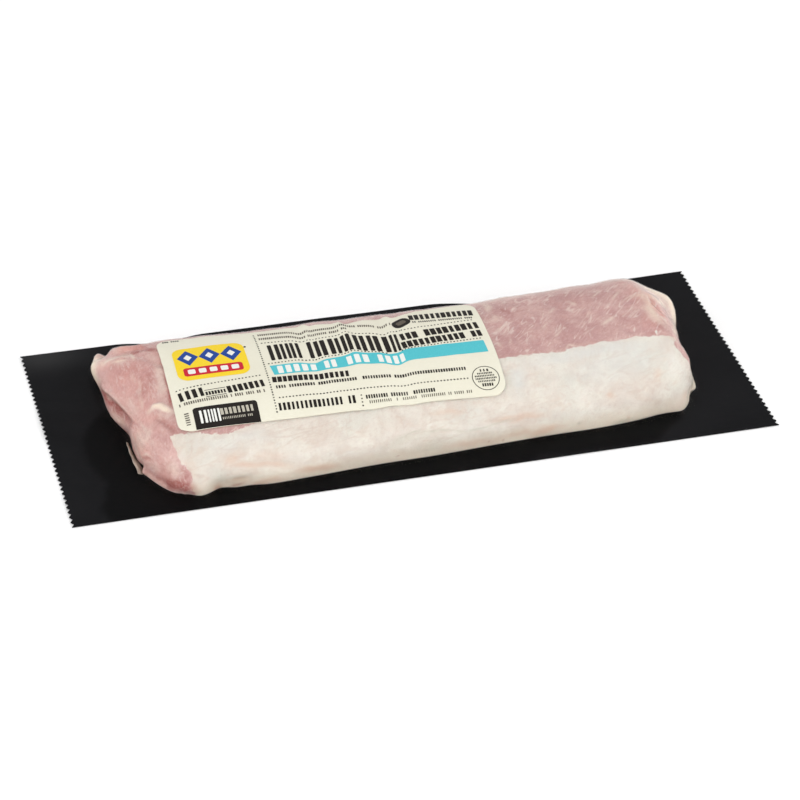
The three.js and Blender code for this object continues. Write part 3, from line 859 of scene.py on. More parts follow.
# Tints of the flesh: which, line, half width and strength
TINTS = (
    # the left end is rosier than the rest
    (WARM, ((117.7, 351.4), (-125, 5, 20), (-123, -20, 20), (161.3, 447)), 14.0, 0.55),
    (WARM, ((-112, 34, 21), (-109, 12, 27.6), (-110, -30, 25)), 8.0, 0.45),
    (WARM, ((150.5, 464.8), (-119, -46, 9), (180.8, 470.9)), 8.0, 0.5),
    # the ear, the rim, the strip below the roll and the roll itself
    (PALE_AND_HIGHLIGHT, ((-133.5, 46, 6), (98.4, 358.9), (94.7, 364.9), (97.2, 379.8)), 3.6, 1.0),
    # cream along the ear's rim, brightened as a painted highlight
    (CREAM_AND_HIGHLIGHT, ((-133.2, 46.4, 5.4), (92.6, 363.2), (92.1, 368.6), (93.9, 374.9), (98.9, 385.8)), 3.1, 1.0),
    (PALE_AND_HIGHLIGHT, ((95.5, 371.7), (98.3, 378.5), (101.6, 383.6)), 1.4, 0.6),
    (CREAM_AND_HIGHLIGHT, ((97.2, 356.1), (-131.7, 41.5, 9.9), (96.4, 363.7)), 2.6, 0.4),
    (CREAM_AND_HIGHLIGHT, ((-132.8, 33, 13), (105.1, 361.8), (114.3, 358.2), (123.6, 355.6), (127.1, 356.3)), 2.0, 0.6),
    (CREAM_AND_HIGHLIGHT, ((112.6, 362.7), (118.8, 362.4), (127.9, 359.6)), 0.7, 0.55),
    (CREAM_AND_HIGHLIGHT, ((128.8, 353.2), (132.6, 356.8), (135.3, 360)), 0.8, 0.65),
    (PALE_AND_HIGHLIGHT, ((99.1, 364.5), (-128, 27, 18), (123, 357.3)), 3.0, 0.5),
    (WARM, ((-134, 38, 10), (105, 365.3), (-127.4, 25, 18.8)), 3.4, 0.8),
    (PALE_AND_HIGHLIGHT, ((116.4, 364.9), (125.1, 362.3)), 1.8, 0.5),
    (WARM, ((112.1, 351.8), (129.1, 346.7), (141.4, 346.5), (151.2, 345.1)), 3.4, 0.9),
    (PALE_AND_HIGHLIGHT, ((-128.4, 43, 9.6), (-124, 39, 14.4), (-118, 37, 17), (-111, 36, 19)), 1.5, 0.45),
    # deep red in the groove in front of the roll, darkened further as painted shade
    (DEEP_AND_SHADE, ((126.8, 353.5), (133.9, 352.5), (139.6, 351.2), (146.5, 350.5), (152.6, 349.9),
            (156.8, 350.2)), 1.6, 1.4),
    (DEEP_AND_SHADE, ((130, 348.2), (140.7, 347.6), (150, 347)), 2.2, 0.4),
    (PALE_AND_HIGHLIGHT, ((113.8, 351.9), (120.3, 349.6)), 1.8, 0.45),
    # upper facet: rosy middle, pale streaks along it
    (DEEP_AND_SHADE, ((113.1, 374), (134, 370.5), (-120.5, 6, 23.4)), 5.0, 0.34),
    (DEEP_AND_SHADE, ((149.1, 382), (143.3, 389), (144.4, 398.3)), 3.6, 0.46),
    (DEEP_AND_SHADE, ((143.3, 361.3), (-118.4, 6, 24.6)), 2.2, 0.3),
    (PALE_AND_HIGHLIGHT, ((138.5, 373.9), (140.3, 395.9), (143.3, 412.2)), 0.9, 0.4),
    (DEEP_AND_SHADE, ((106.8, 368.9), (117.1, 372.2), (125.3, 374.9)), 3.4, 0.22),
    (PALE_AND_HIGHLIGHT, ((131.6, 372.2), (136.1, 384.2)), 0.8, 0.35),
    (PALE_AND_HIGHLIGHT, ((142.5, 399.6), (142, 408.5)), 0.8, 0.6),
    (PALE_AND_HIGHLIGHT, ((125.2, 399.6), (132.5, 408.6), (139.9, 417.6)), 3.0, 0.42),
    (PALE_AND_HIGHLIGHT, ((156.2, 363.5), (159.6, 372.9), (160.9, 381.6), (161.5, 393), (162.7, 399.2)), 2.0, 0.85),
    (DEEP_AND_SHADE, ((147, 370.2), (151.2, 381.9), (150, 391.4)), 2.5, 0.42),
    (DEEP_AND_SHADE, ((140.2, 374.8), (143, 384.2)), 1.7, 0.45),
    (PALE_AND_HIGHLIGHT, ((148.5, 353.9), (156.2, 362.7)), 1.6, 0.3),
    # painted shadow of the label's left edge on the meat
    (DEEP_AND_SHADE, ((161, 358), (164.4, 374.9), (168, 389.7), (171, 404.9), (173.1, 413.4)), 1.1, 1.1),
    # white fold, red crease and the lobe below them
    (PALE_AND_HIGHLIGHT, ((149.3, 411.8), (152.9, 405.4), (159.9, 404.3), (166.5, 407.3), (171.3, 412.5)), 1.8, 1.5),
    (CREAM_AND_HIGHLIGHT, ((150.3, 410.2), (152.9, 405.4), (160, 404.6), (166.6, 408.8), (170.5, 413.5)), 1.3, 0.9),
    (PALE_AND_HIGHLIGHT, ((156.5, 412.1), (163.9, 415.8), (170.1, 419.4)), 1.9, 0.6),
    # deep red in the crease beside the label, darkened further as painted shade
    (DEEP_AND_SHADE, ((154.2, 416.1), (160, 418.9), (167.1, 424.7), (176, 431.3), (180.8, 433.8)), 1.4, 0.6),
    (DEEP_AND_SHADE, ((168.9, 429.8), (178.4, 432.9)), 2.0, 0.3),
    (WARM, ((130.2, 426), (137.3, 439.9), (144.4, 451.8), (-122, -40, 11)), 4.6, 0.95),
    (PALE_AND_HIGHLIGHT, ((135.1, 435.6), (138.3, 438.8), (-124.4, -32, 13.4)), 4.4, 0.7),
    (PALE_AND_HIGHLIGHT, ((152, 427.4), (148, 434.7), (144.6, 447.4)), 2.4, 0.75),
    (PALE_AND_HIGHLIGHT, ((-126, -34, 6), (-123, -39.6, 8), (-120.6, -43, 8.6)), 2.8, 0.45),
    (PALE_AND_HIGHLIGHT, ((136.6, 420.1), (142.3, 425.4), (145.7, 430.2), (147.8, 438.4)), 0.9, 0.85),
    (PALE_AND_HIGHLIGHT, ((130.1, 430.3), (134, 441.4), (136.8, 449.9), (-127.6, -30, 4)), 2.0, 0.65),
    (PALE_AND_HIGHLIGHT, ((-128, -28.5, 5.4), (145.7, 454.5), (151.3, 455.7)), 0.8, 0.8),
    (DEEP_AND_SHADE, ((142.2, 460.1), (147.3, 458.8), (152.2, 459.6)), 0.7, 0.5),
    (PALE_AND_HIGHLIGHT, ((144.4, 465), (146.6, 462), (153.4, 462.6)), 0.8, 0.6),
    # the ridge with a painted highlight along it, and the dark red band of the end face under it, darkened as
    # painted shade
    (PALE_AND_HIGHLIGHT, ((99.3, 385.2), (101.7, 387.2), (108.1, 392.7), (116.2, 400), (123.6, 408.5), (130.5, 416.3),
            (138.3, 424.3)), 0.8, 0.6),
    (DEEP_AND_SHADE, ((99.7, 388.3), (101.4, 389.9), (106.2, 396.9), (112.2, 402.2), (118.6, 407.5),
            (125.5, 413.9), (130.5, 419.3)), 2.9, 1.15),
    (PALE_AND_HIGHLIGHT, ((107, 395.9), (111.6, 398.8)), 1.4, 0.7),
    (GREY, ((110.3, 412.4), (116.3, 418.5), (121.6, 422.6), (126.3, 424.7)), 1.9, 0.9),
    (PALE_AND_HIGHLIGHT, ((114.2, 417.4), (120.4, 421.6)), 0.7, 0.5),
    (DEEP_AND_SHADE, ((125, 430.6), (127.7, 432.6)), 1.5, 1.0),
    (PALE_AND_HIGHLIGHT, ((108.2, 398.8),), 0.7, 0.7),
    # white patch beside the fat's edge, and the spots round it
    (PALE_AND_HIGHLIGHT, ((168.3, 463), (171.6, 466.8), (173.9, 472.3), (169.4, 472.2)), 3.3, 0.56),
    (GREY, ((171.4, 465.1), (173.2, 471.5)), 3.0, 0.5),
    (DEEP_AND_SHADE, ((180.1, 468.9), (183.2, 472.1)), 1.3, 0.7),
    (DEEP_AND_SHADE, ((163.1, 466.1), (164, 473.6)), 1.4, 0.3),
    (DEEP_AND_SHADE, ((171.1, 463.5),), 0.8, 0.5),
    (DEEP_AND_SHADE, ((176.9, 470.6),), 0.7, 0.4),
    (DEEP_AND_SHADE, ((182.3, 469.5), (185.5, 476), (181.8, 479.1)), 2.0, 0.65),
    (DEEP_AND_SHADE, ((161.7, 459.4), (164.3, 469.3), (170, 478.9)), 1.8, 0.22),
    # foot at the front left
    (DEEP_AND_SHADE, ((163.3, 480.3), (168.3, 483.3), (176.4, 484.4), (183.8, 486.7), (191.2, 488.2),
            (192.5, 491.5)), 3.1, 1.2),
    (DEEP_AND_SHADE, ((153.9, 475.7), (158.3, 478.5), (163.6, 480.8)), 1.2, 0.6),
    (WARM, ((142.6, 471.4), (151.2, 477.9), (161.3, 484.1), (169.7, 489.1)), 3.4, 0.8),
    (PALE_AND_HIGHLIGHT, ((142.6, 471.4), (151.1, 478.7), (161.1, 485.1), (169.7, 490)), 1.9, 0.6),
    (PALE_AND_HIGHLIGHT, ((168.9, 490), (184.8, 494), (196.8, 495.3)), 1.1, 0.6),
    # right end: the cream rim, lightened as painted light where it faces away from the lamps, and the folds
    # inside it
    (WARM, ((121, 20, 29), (647.8, 297.2), (127, -4, 28), (672.8, 330.3)), 8.0, 0.75),
    (WARM, ((639, 321.6), (121, -15, 30)), 6.0, 0.4),
    (PALE_AND_HIGHLIGHT, ((125, 27, 26), (656.2, 294.6), (141, 18.5, 17)), 7.5, 0.9),
    (PALE_AND_HIGHLIGHT, ((672.8, 319.6), (136.5, -3, 17), (132.5, -14, 18)), 6.0, 0.85),
    (PALE_AND_HIGHLIGHT, ((134, 34, 14), (144, 20, 6), (140, 2, 5)), 7.0, 0.7),
    (CREAM_AND_HIGHLIGHT, ((633.3, 281.2), (648.4, 288.5), (659, 292.9), (669.5, 299.1), (672.4, 307.2), (674.7, 319),
            (675.8, 329.2)), 5.4, 1.1),
    (CREAM_AND_HIGHLIGHT, ((636.7, 286.3), (646, 297.7), (650.7, 309.1), (659.8, 320.4), (671.9, 331.8)), 2.6, 0.45),
    (CREAM_AND_HIGHLIGHT, ((642.7, 292.5), (650.2, 296.2), (657.4, 300.5), (662.6, 304.1), (670.6, 316)), 3.0, 0.65),
    (CREAM_AND_HIGHLIGHT, ((673.6, 323.4), (674.7, 330.6), (674.5, 334.5)), 2.8, 0.75),
    (CREAM_AND_HIGHLIGHT, ((634, 296.9), (641.3, 294.8), (648, 298.5), (652.9, 304.2)), 1.2, 0.5),
    (CREAM_AND_HIGHLIGHT, ((655.3, 318.9), (661.8, 317.4), (666.3, 321.9), (670.6, 326.3)), 1.1, 0.5),
    (PALE_AND_HIGHLIGHT, ((643.6, 302.8), (648.6, 310.1), (653.1, 316), (657.4, 321.8)), 2.2, 0.5),
    # painted highlight on the corner of the right end above the fat
    (CREAM_AND_HIGHLIGHT, ((674.1, 337.6), (676.8, 340.5)), 1.0, 0.8),
    (DEEP_AND_SHADE, ((650.1, 301.3), (124.6, -1, 30), (661.8, 315.2)), 0.9, 0.4),
    (DEEP_AND_SHADE, ((663.4, 310.9), (665.1, 311.4)), 1.3, 0.35),
    (DEEP_AND_SHADE, ((666.2, 315.9), (669.9, 318.9), (673.2, 322.6)), 0.8, 0.45),
    (DEEP_AND_SHADE, ((643.3, 315.4), (653.3, 323.9), (667.4, 329.9)), 2.6, 0.25),
    (DEEP_AND_SHADE, ((647.1, 333.1), (651.4, 332.8), (655.1, 332.9)), 0.6, 0.5),
    (PALE_AND_HIGHLIGHT, ((656.1, 331.1), (656.8, 333.8)), 0.4, 0.9),
    # lines of marbling in the lean at the right
    (PALE_AND_HIGHLIGHT, ((609.3, 304.5), (614.2, 297.1), (619.7, 290.8)), 0.55, 1.0),
    (PALE_AND_HIGHLIGHT, ((622.7, 302), (629.2, 297), (638.5, 292.4)), 0.55, 0.9),
    (PALE_AND_HIGHLIGHT, ((592.3, 297.1), (597.3, 293.5), (599.3, 290.1)), 0.6, 0.9),
    (PALE_AND_HIGHLIGHT, ((566.7, 301.3), (571, 302.7), (576.8, 305.5)), 0.9, 0.9),
    (PALE_AND_HIGHLIGHT, ((569.7, 306.3), (575.3, 301.3)), 0.5, 0.8),
    (PALE_AND_HIGHLIGHT, ((600.8, 324.7), (610.6, 319.8), (615.6, 315)), 0.8, 0.9),
    (PALE_AND_HIGHLIGHT, ((493.3, 336), (502.4, 327.4), (512.7, 321.1)), 0.55, 0.9),
    (PALE_AND_HIGHLIGHT, ((525.8, 332.5), (531.7, 331.1)), 0.6, 0.6),
    (PALE_AND_HIGHLIGHT, ((553.4, 338.1), (558.3, 333.2), (561.8, 329.6)), 0.55, 0.8),
    (PALE_AND_HIGHLIGHT, ((566.4, 348.7), (568.1, 345.1), (576.7, 346.6)), 0.6, 0.9),
    (PALE_AND_HIGHLIGHT, ((549.8, 314), (553.3, 307.6)), 0.5, 0.8),
    (PALE_AND_HIGHLIGHT, ((535, 314), (545.5, 318.3)), 0.5, 0.6),
    (PALE_AND_HIGHLIGHT, ((89.3, -1.4, 29.3), (590.9, 309.8)), 0.5, 0.75),
    (PALE_AND_HIGHLIGHT, ((541.4, 329.6), (552.6, 319.7)), 0.5, 0.7),
    (PALE_AND_HIGHLIGHT, ((497.3, 342.4), (501.7, 346.6)), 0.9, 0.8),
    (PALE_AND_HIGHLIGHT, ((509.5, 343.8), (510.9, 338.1)), 0.5, 0.7),
    (PALE_AND_HIGHLIGHT, ((583.1, 335.2), (593.7, 327.9)), 0.5, 0.6),
    (PALE_AND_HIGHLIGHT, ((511.8, 310), (518.8, 304.5)), 0.5, 0.6),
    # blurred pale places and the red streak beside the label's right end
    (PALE_AND_HIGHLIGHT, ((484.4, 302.7), (488.1, 306.8), (488.6, 312)), 1.9, 1.0),
    (PALE_AND_HIGHLIGHT, ((491, 315.4), (497.3, 318.3), (490.9, 321.8)), 1.9, 0.6),
    (DEEP_AND_SHADE, ((497.4, 307.6), (511.6, 314.1)), 1.2, 0.6),
    # these three: a painted highlight of the film along the back edge of the loin
    (PALE_AND_HIGHLIGHT, ((485.8, 302.1), (498.4, 298.7), (513.4, 296.7), (527.3, 294.9)), 1.7, 0.75),
    (PALE_AND_HIGHLIGHT, ((532.4, 293.6), (80, 30.4, 22.4), (90, 30.2, 22.6)), 1.4, 0.5),
    (PALE_AND_HIGHLIGHT, ((578.9, 285.7), (599.6, 282.6), (620.1, 279.2)), 1.2, 0.35),
    # painted highlight of the film: cool white along the top of the fat and beside the label
    (PALE_AND_HIGHLIGHT, ((521.5, 362.5), (566.5, 356.4), (606.3, 347.8), (657.3, 343.4)), 4.2, 0.55),
    (PALE_AND_HIGHLIGHT, ((515.5, 367.3), (518.2, 392.7)), 4.0, 0.5),
    (PALE_AND_HIGHLIGHT, ((-108, -42, 22), (-96, -46, 20), (275.6, 431.8)), 4.0, 0.35),
    # front of the fat
    (WARM, ((224.7, 465.1), (254, 464.1), (279.1, 463.7), (292.7, 466.8)), 1.5, 0.6),
    (WARM, ((223.3, 458.7), (231.4, 461), (239.6, 457.8)), 2.6, 0.45),
    (WARM, ((248.6, 462.6), (-68, -52, 14.5)), 3.4, 0.3),
    (WARM, ((228.1, 481.4), (239.2, 479.5), (249.9, 479.3)), 1.7, 0.85),
    (GREY, ((228.1, 481.8), (239.2, 479.8), (249.9, 479.3)), 1.5, 0.5),
    (DEEP_AND_SHADE, ((229.6, 485.9), (243.1, 482.5)), 1.0, 0.7),
    (WARM, ((251.1, 483.2), (272.7, 479.6), (286, 478.5)), 1.8, 0.6),
    (WARM, ((297.6, 470.4), (321.7, 468.4), (338.4, 466.2)), 2.0, 0.7),
    (PALE_AND_HIGHLIGHT, ((568.5, 375.1), (92, -33, 24.8), (648.1, 354.9), (666, 350.5)), 8.0, 0.45),
    (CREAM_AND_HIGHLIGHT, ((670, 407.8), (678.3, 403.3), (686.8, 394.2)), 2.8, 0.45),
    (WARM, ((483.4, 422.5), (508.3, 418.4), (533.3, 414.1), (549.9, 415.1)), 1.5, 0.4),
    (WARM, ((528.6, 434.6), (545, 429.5), (561.7, 426.2)), 1.9, 0.65),
    (WARM, ((446.5, 446.7), (475, 442.1), (491.9, 441.4), (510, 436.6)), 1.9, 0.4),
    (WARM, ((431.6, 413.3), (446.7, 411.7), (463.2, 411.7)), 1.3, 0.35),
    (GREY, ((383.4, 451.7), (396.7, 440.1), (413.4, 431.9), (441.6, 429.8), (466.6, 431.1),
            (491.6, 425.5), (516.6, 416.7)), 0.45, 0.8),
    (DEEP_AND_SHADE, ((488.3, 441.4),), 0.45, 0.9),
    (DEEP_AND_SHADE, ((502, 441.3),), 0.45, 0.9),
    (DEEP_AND_SHADE, ((396.6, 457), (399.5, 456.8)), 0.4, 0.6),
    (WARM, ((212.1, 490.2), (223, 484.5)), 1.9, 0.7),
    (WARM, ((536.9, 435.7), (527.1, 431.4), (502.8, 438.8)), 1.6, 0.45),
    (WARM, ((510, 422.9), (525.7, 415.9), (547, 416)), 1.2, 0.5),
    (WARM, ((609.2, 397.7), (611.3, 391.9)), 1.5, 0.5),
    (WARM, ((658.8, 366.4), (657.3, 379.1)), 2.4, 0.35),
    (WARM, ((674.4, 407.4), (681.5, 401.9), (127, -39.5, 9)), 2.0, 0.5),
    (WARM, ((629.1, 415.3), (628.3, 420)), 0.9, 0.6),
    (DEEP_AND_SHADE, ((212.7, 490.7), (220.8, 486.5)), 1.0, 0.6),
    (DEEP_AND_SHADE, ((251, 484.5), (266.8, 483)), 0.9, 0.4),
    (GREY, ((382, 448), (406.7, 438.1), (442.3, 431.4)), 2.2, 0.4),
    (GREY, ((421.4, 446.4), (446.8, 440.7)), 3.6, 0.35),
    (GREY, ((612.1, 424.5), (631.6, 419.2)), 1.2, 0.7),
    (GREY, ((577.9, 423.9), (581.2, 422.9)), 0.8, 0.8),
    (GREY, ((508.7, 372.3), (506.2, 391.4)), 2.6, 0.3),
    (GREY, ((688.6, 373.6), (691.4, 382), (693.5, 385.5)), 1.6, 0.6),
)


def inside_outline(x, y, outline):
    """True where a place is inside a closed outline in plan."""
    inside = np.zeros(x.shape, bool)
    previous = outline[-1]
    for point in outline:
        x1, y1 = previous
        x2, y2 = point
        crosses = (y1 > y) != (y2 > y)
        with np.errstate(divide="ignore", invalid="ignore"):
            at = x1 + (y - y1) * (x2 - x1) / (y2 - y1) if y2 != y1 else np.full(x.shape, -np.inf)
        inside ^= crosses & (x < at)
        previous = point
    return inside


def fat_distance(points, read):
    """Distance in millimetres from the line between fat and lean, above 0 in the fat."""
    border = read(FAT_LINE)
    away, _ = line_distance(points, border)
    plan = [(x, y) for x, y, _ in border] + list(FAT_SIDE)
    signed = np.where(inside_outline(points[..., 0], points[..., 1], plan), away, -away)
    for line, half_width in FAT_ISLANDS:
        signed = np.maximum(signed, half_width - line_distance(points, read(line))[0])
    for line, half_width in LEAN_ISLANDS:
        signed = np.minimum(signed, line_distance(points, read(line))[0] - half_width)
    return signed


# Length and depth of the waves in a stroke's edges, and how firm the edges are
STROKE_WAVE = 6.0
STROKE_BEND = 0.9
STROKE_EDGE = 2.4


def tint_values(points, read):
    """The five tints at each point, from strokes whose edges are a little uneven."""
    shifts = [coarse_noise(points, STROKE_WAVE, seed) for seed in (21, 22, 23)]
    bent = points + STROKE_BEND * np.stack(shifts, axis=-1)
    values = np.zeros(points.shape[:-1] + (5,))
    for kind, line, half_width, strength in TINTS:
        away, along = line_distance(bent, read(line))
        ease = 0.35 + 0.65 * tapered(along, 0.3) if len(line) > 1 else 1.0
        stroke = strength * ease * np.exp(-(away / half_width) ** STROKE_EDGE)
        values[..., kind] = np.maximum(values[..., kind], stroke)
    return np.clip(values, 0, 1)


def make_meat(material, moulding):
    """The loin itself, closed underneath."""
    plain = plain_skin(MEAT_AROUND, MEAT_RISES, INNERMOST)
    rings = moulded(plain, moulding)
    read = picture_reader(rings, plain)
    rows = len(rings)
    points = rings.reshape(-1, 3)
    faces = ring_faces(rows, MEAT_AROUND)
    faces += laced_ring(points, (rows - 1) * MEAT_AROUND, MEAT_AROUND)
    faces += [face[::-1] for face in laced_ring(points, 0, MEAT_AROUND)]
    meat = new_mesh_object("pork_loin", points, faces, material)
    edge = meat.data.attributes.new("fat_edge", "FLOAT", "POINT")
    edge.data.foreach_set("value", fat_distance(plain, read).ravel())
    values = tint_values(plain, read)
    tints = meat.data.attributes.new("tints", "FLOAT_COLOR", "POINT")
    tints.data.foreach_set("color", values[..., :CREAM_AND_HIGHLIGHT].ravel())
    cream_and_highlight = meat.data.attributes.new("cream_and_highlight", "FLOAT", "POINT")
    cream_and_highlight.data.foreach_set("value", values[..., CREAM_AND_HIGHLIGHT].ravel())
    return meat


# The clear film

FILM_AROUND = 520
FILM_RISES = 52
FILM_GAP = 0.3
FILM_THICKNESS = 0.06
FILM_VALLEY_SHARE = 0.7
# How far above the sheet the film's dome, its skirt and its inner face stay
DOME_CLEARANCE = 0.15
SKIRT_CLEARANCE = 0.12
INNER_CLEARANCE = 0.08
# How far out each row of the film's skirt lies, and the gloss of the innermost row
SKIRT_STEPS = (0.5, 1.2, 2.2, 3.6)
SKIRT_GLOSS = 0.35
# Wrinkles of the film alone: line, half width and rise
FILM_WRINKLES = (
    (((-127.5, -30, 9), (-122, -38, 12)), 0.7, 0.25),
    (((-126, -37, 5), (-119.5, -45, 8), (-113, -50, 14)), 0.6, 0.3),
    (((-133.5, 12, 11), (-124, 14, 20)), 0.7, 0.2),
    (((-131, 35, 13), (-123, 30, 19)), 0.7, 0.25),
    (((133, -30, 12), (124, -34, 20), (112, -36, 24)), 0.8, 0.25),
    (((46, -24, 28), (50, -36, 24), (58, -44, 14)), 0.8, 0.2),
    (((44, 8, 29), (52, 22, 27), (62, 34, 19)), 0.8, 0.3),
    (((118, 40, 12), (110, 30, 23), (100, 22, 27)), 0.8, 0.3),
    (((-60, 38, 12), (-56, 30, 21)), 0.8, 0.3),
    (((0, 37, 12), (3, 29, 21)), 0.8, 0.3),
)


def make_film(material, moulding):
    """A thin closed skin over the meat, ending in a narrow skirt on the sheet."""
    plain = plain_skin(FILM_AROUND, FILM_RISES, INNERMOST)
    shaped = moulded(plain, moulding, FILM_VALLEY_SHARE)
    normals = outward(shaped)
    free = 1 - under_label(plain, LABEL_EASE)
    rise = np.full(plain.shape[:2], FILM_GAP)
    for line, width, height in FILM_WRINKLES:
        away, along = line_distance(plain, line)
        rise += free * height * tapered(along) * np.exp(-(away / width) ** 2)
    dome = shaped + normals * rise[..., None]
    dome[..., 2] = np.maximum(dome[..., 2], SHEET_THICKNESS + DOME_CLEARANCE)
    foot = dome[0]
    out = normals[0] * np.array([1, 1, 0])
    out /= np.linalg.norm(out, axis=1, keepdims=True)
    skirt = []
    for step in SKIRT_STEPS[::-1]:
        row = foot + out * step
        row[:, 2] = SHEET_THICKNESS + SKIRT_CLEARANCE
        skirt.append(row)
    outer = np.concatenate([np.array(skirt), dome])
    lowered = dome - normals * FILM_THICKNESS
    lowered[..., 2] = np.maximum(lowered[..., 2], SHEET_THICKNESS + INNER_CLEARANCE)
    inner = np.concatenate([np.array(skirt) - np.array([0, 0, FILM_THICKNESS]), lowered])
    rows = len(outer)
    count = rows * FILM_AROUND
    points = np.vstack([outer.reshape(-1, 3), inner.reshape(-1, 3)])
    crest = (rows - 1) * FILM_AROUND
    faces = ring_faces(rows, FILM_AROUND) + laced_ring(points, crest, FILM_AROUND)
    inner_faces = ring_faces(rows, FILM_AROUND, count) + laced_ring(points, count + crest, FILM_AROUND)
    faces += [face[::-1] for face in inner_faces]
    for i in range(FILM_AROUND):
        following = (i + 1) % FILM_AROUND
        faces.append((count + i, count + following, following, i))
    film = new_mesh_object("clear_film", points, faces, material)
    loose = np.ones((rows, FILM_AROUND))
    for row, share in enumerate(np.linspace(0, SKIRT_GLOSS, len(SKIRT_STEPS))):
        loose[row] = share
    values = film.data.attributes.new("loose", "FLOAT", "POINT")
    values.data.foreach_set("value", np.concatenate([loose.ravel(), loose.ravel()]))
    return film


# The fin's foot on the sheet, and how far out and up its rim lies from there
FIN_FOOT = ((-129.9, -11, 0.55), (-129.5, -16, 0.55), (-128.9, -21.3, 0.55), (-128.1, -26, 0.55),
            (-127.3, -30.5, 0.55), (-128.2, -35, 0.55))
FIN_OUT = (0.5, 1.5, 2.2, 3.1, 3.4, 2.0)
FIN_HEIGHTS = (0.4, 1.7, 2.5, 2.7, 2.5, 1.0)
FIN_THICKNESS = 0.25


def make_fin(material):
    """The fold of spare film that stands beside the left end."""
    foot = np.array(FIN_FOOT)
    at = np.linspace(0, 1, len(foot))
    fine = np.linspace(0, 1, 25)
    line = np.stack([np.interp(fine, at, foot[:, k]) for k in range(3)], axis=1)
    heights = np.interp(fine, at, FIN_HEIGHTS)
    out = np.interp(fine, at, FIN_OUT)
    points = []
    for side in (0.0, FIN_THICKNESS):
        for share in (0.0, 0.5, 1.0):
            row = line + np.array([side, 0, 0])
            row[:, 2] += heights * share ** 1.4
            row[:, 0] -= (out + 0.15 * np.sin(fine * 19)) * share
            points.append(row)
    points = np.vstack(points)
    columns = len(fine)
    faces = []
    for row in range(2):
        for i in range(columns - 1):
            a = row * columns + i
            b = a + 3 * columns
            faces.append((a, a + columns, a + columns + 1, a + 1))
            faces.append((b, b + 1, b + columns + 1, b + columns))
    for i in range(columns - 1):
        faces.append((i, i + 1, i + 1 + 3 * columns, i + 3 * columns))
        top = 2 * columns + i
        faces.append((top, top + 3 * columns, top + 1 + 3 * columns, top + 1))
    for i in (0, columns - 1):
        ends = [i + k * columns for k in (0, 1, 2, 5, 4, 3)]
        faces.append(tuple(ends if i == 0 else ends[::-1]))
    fin = new_mesh_object("film_fin", points, faces, material)
    mend_normals(fin)
    return fin


def mend_normals(made):
    work = bmesh.new()
    work.from_mesh(made.data)
    bmesh.ops.recalc_face_normals(work, faces=work.faces)
    work.to_mesh(made.data)
    work.free()


# The backing sheet

SHEET_CELL = 2.5


def sheet_outline():
    """The sheet from above, anticlockwise, with its zigzag ends and the bows in its back edge."""
    half_length = SHEET_LENGTH / 2
    half_width = SHEET_WIDTH / 2
    pitch = SHEET_WIDTH / TEETH
    outline = [(-half_length, -half_width), (half_length, -half_width)]
    for tooth in range(TEETH):
        y = -half_width + tooth * pitch
        outline.append((half_length - TOOTH_DEPTH, y + pitch / 2))
        outline.append((half_length, y + pitch))
    for middle, reach, depth in EDGE_BOWS:
        for along in np.linspace(1, -1, 25):
            dip = depth * (0.5 + 0.5 * math.cos(math.pi * along))
            outline.append((middle + along * reach, half_width - dip))
    outline.append((-half_length, half_width))
    for tooth in range(TEETH):
        y = half_width - tooth * pitch
        outline.append((-half_length + TOOTH_DEPTH, y - pitch / 2))
        if tooth < TEETH - 1:
            outline.append((-half_length, y - pitch))
    return outline


def away_from_foot(x, y):
    """Distance in plan from the loin's foot, 0 under the loin."""
    foot = even_steps(FOOT_LINE, 220)[:, :2]
    away = np.min(np.hypot(x[:, None] - foot[:, 0], y[:, None] - foot[:, 1]), axis=1)
    return np.where(inside_outline(x, y, foot), 0, away)


def sheet_ripple(x, y, away):
    """How far the sheet stands off the floor, in gentle waves that die out at the loin."""
    ease = np.clip(away / 14, 0, 1)
    ease = ease * ease * (3 - 2 * ease)
    waves = 0.22 * np.sin(x / 15 + 0.6 * np.sin(y / 21)) * np.sin(y / 17 + 1.1)
    left = np.clip((-x - 132) / 34, 0, 1) * 0.45 * np.sin(y / 9.5 + 0.4)
    right = np.clip((x - 142) / 24, 0, 1) * 0.35 * np.sin(y / 12.5 + 2)
    corner = 0.35 * np.exp(-(((x + 158) / 24) ** 2) - ((y - 54) / 14) ** 2)
    return ease * np.clip(0.8 * waves + left + right + corner, 0, 1.2)


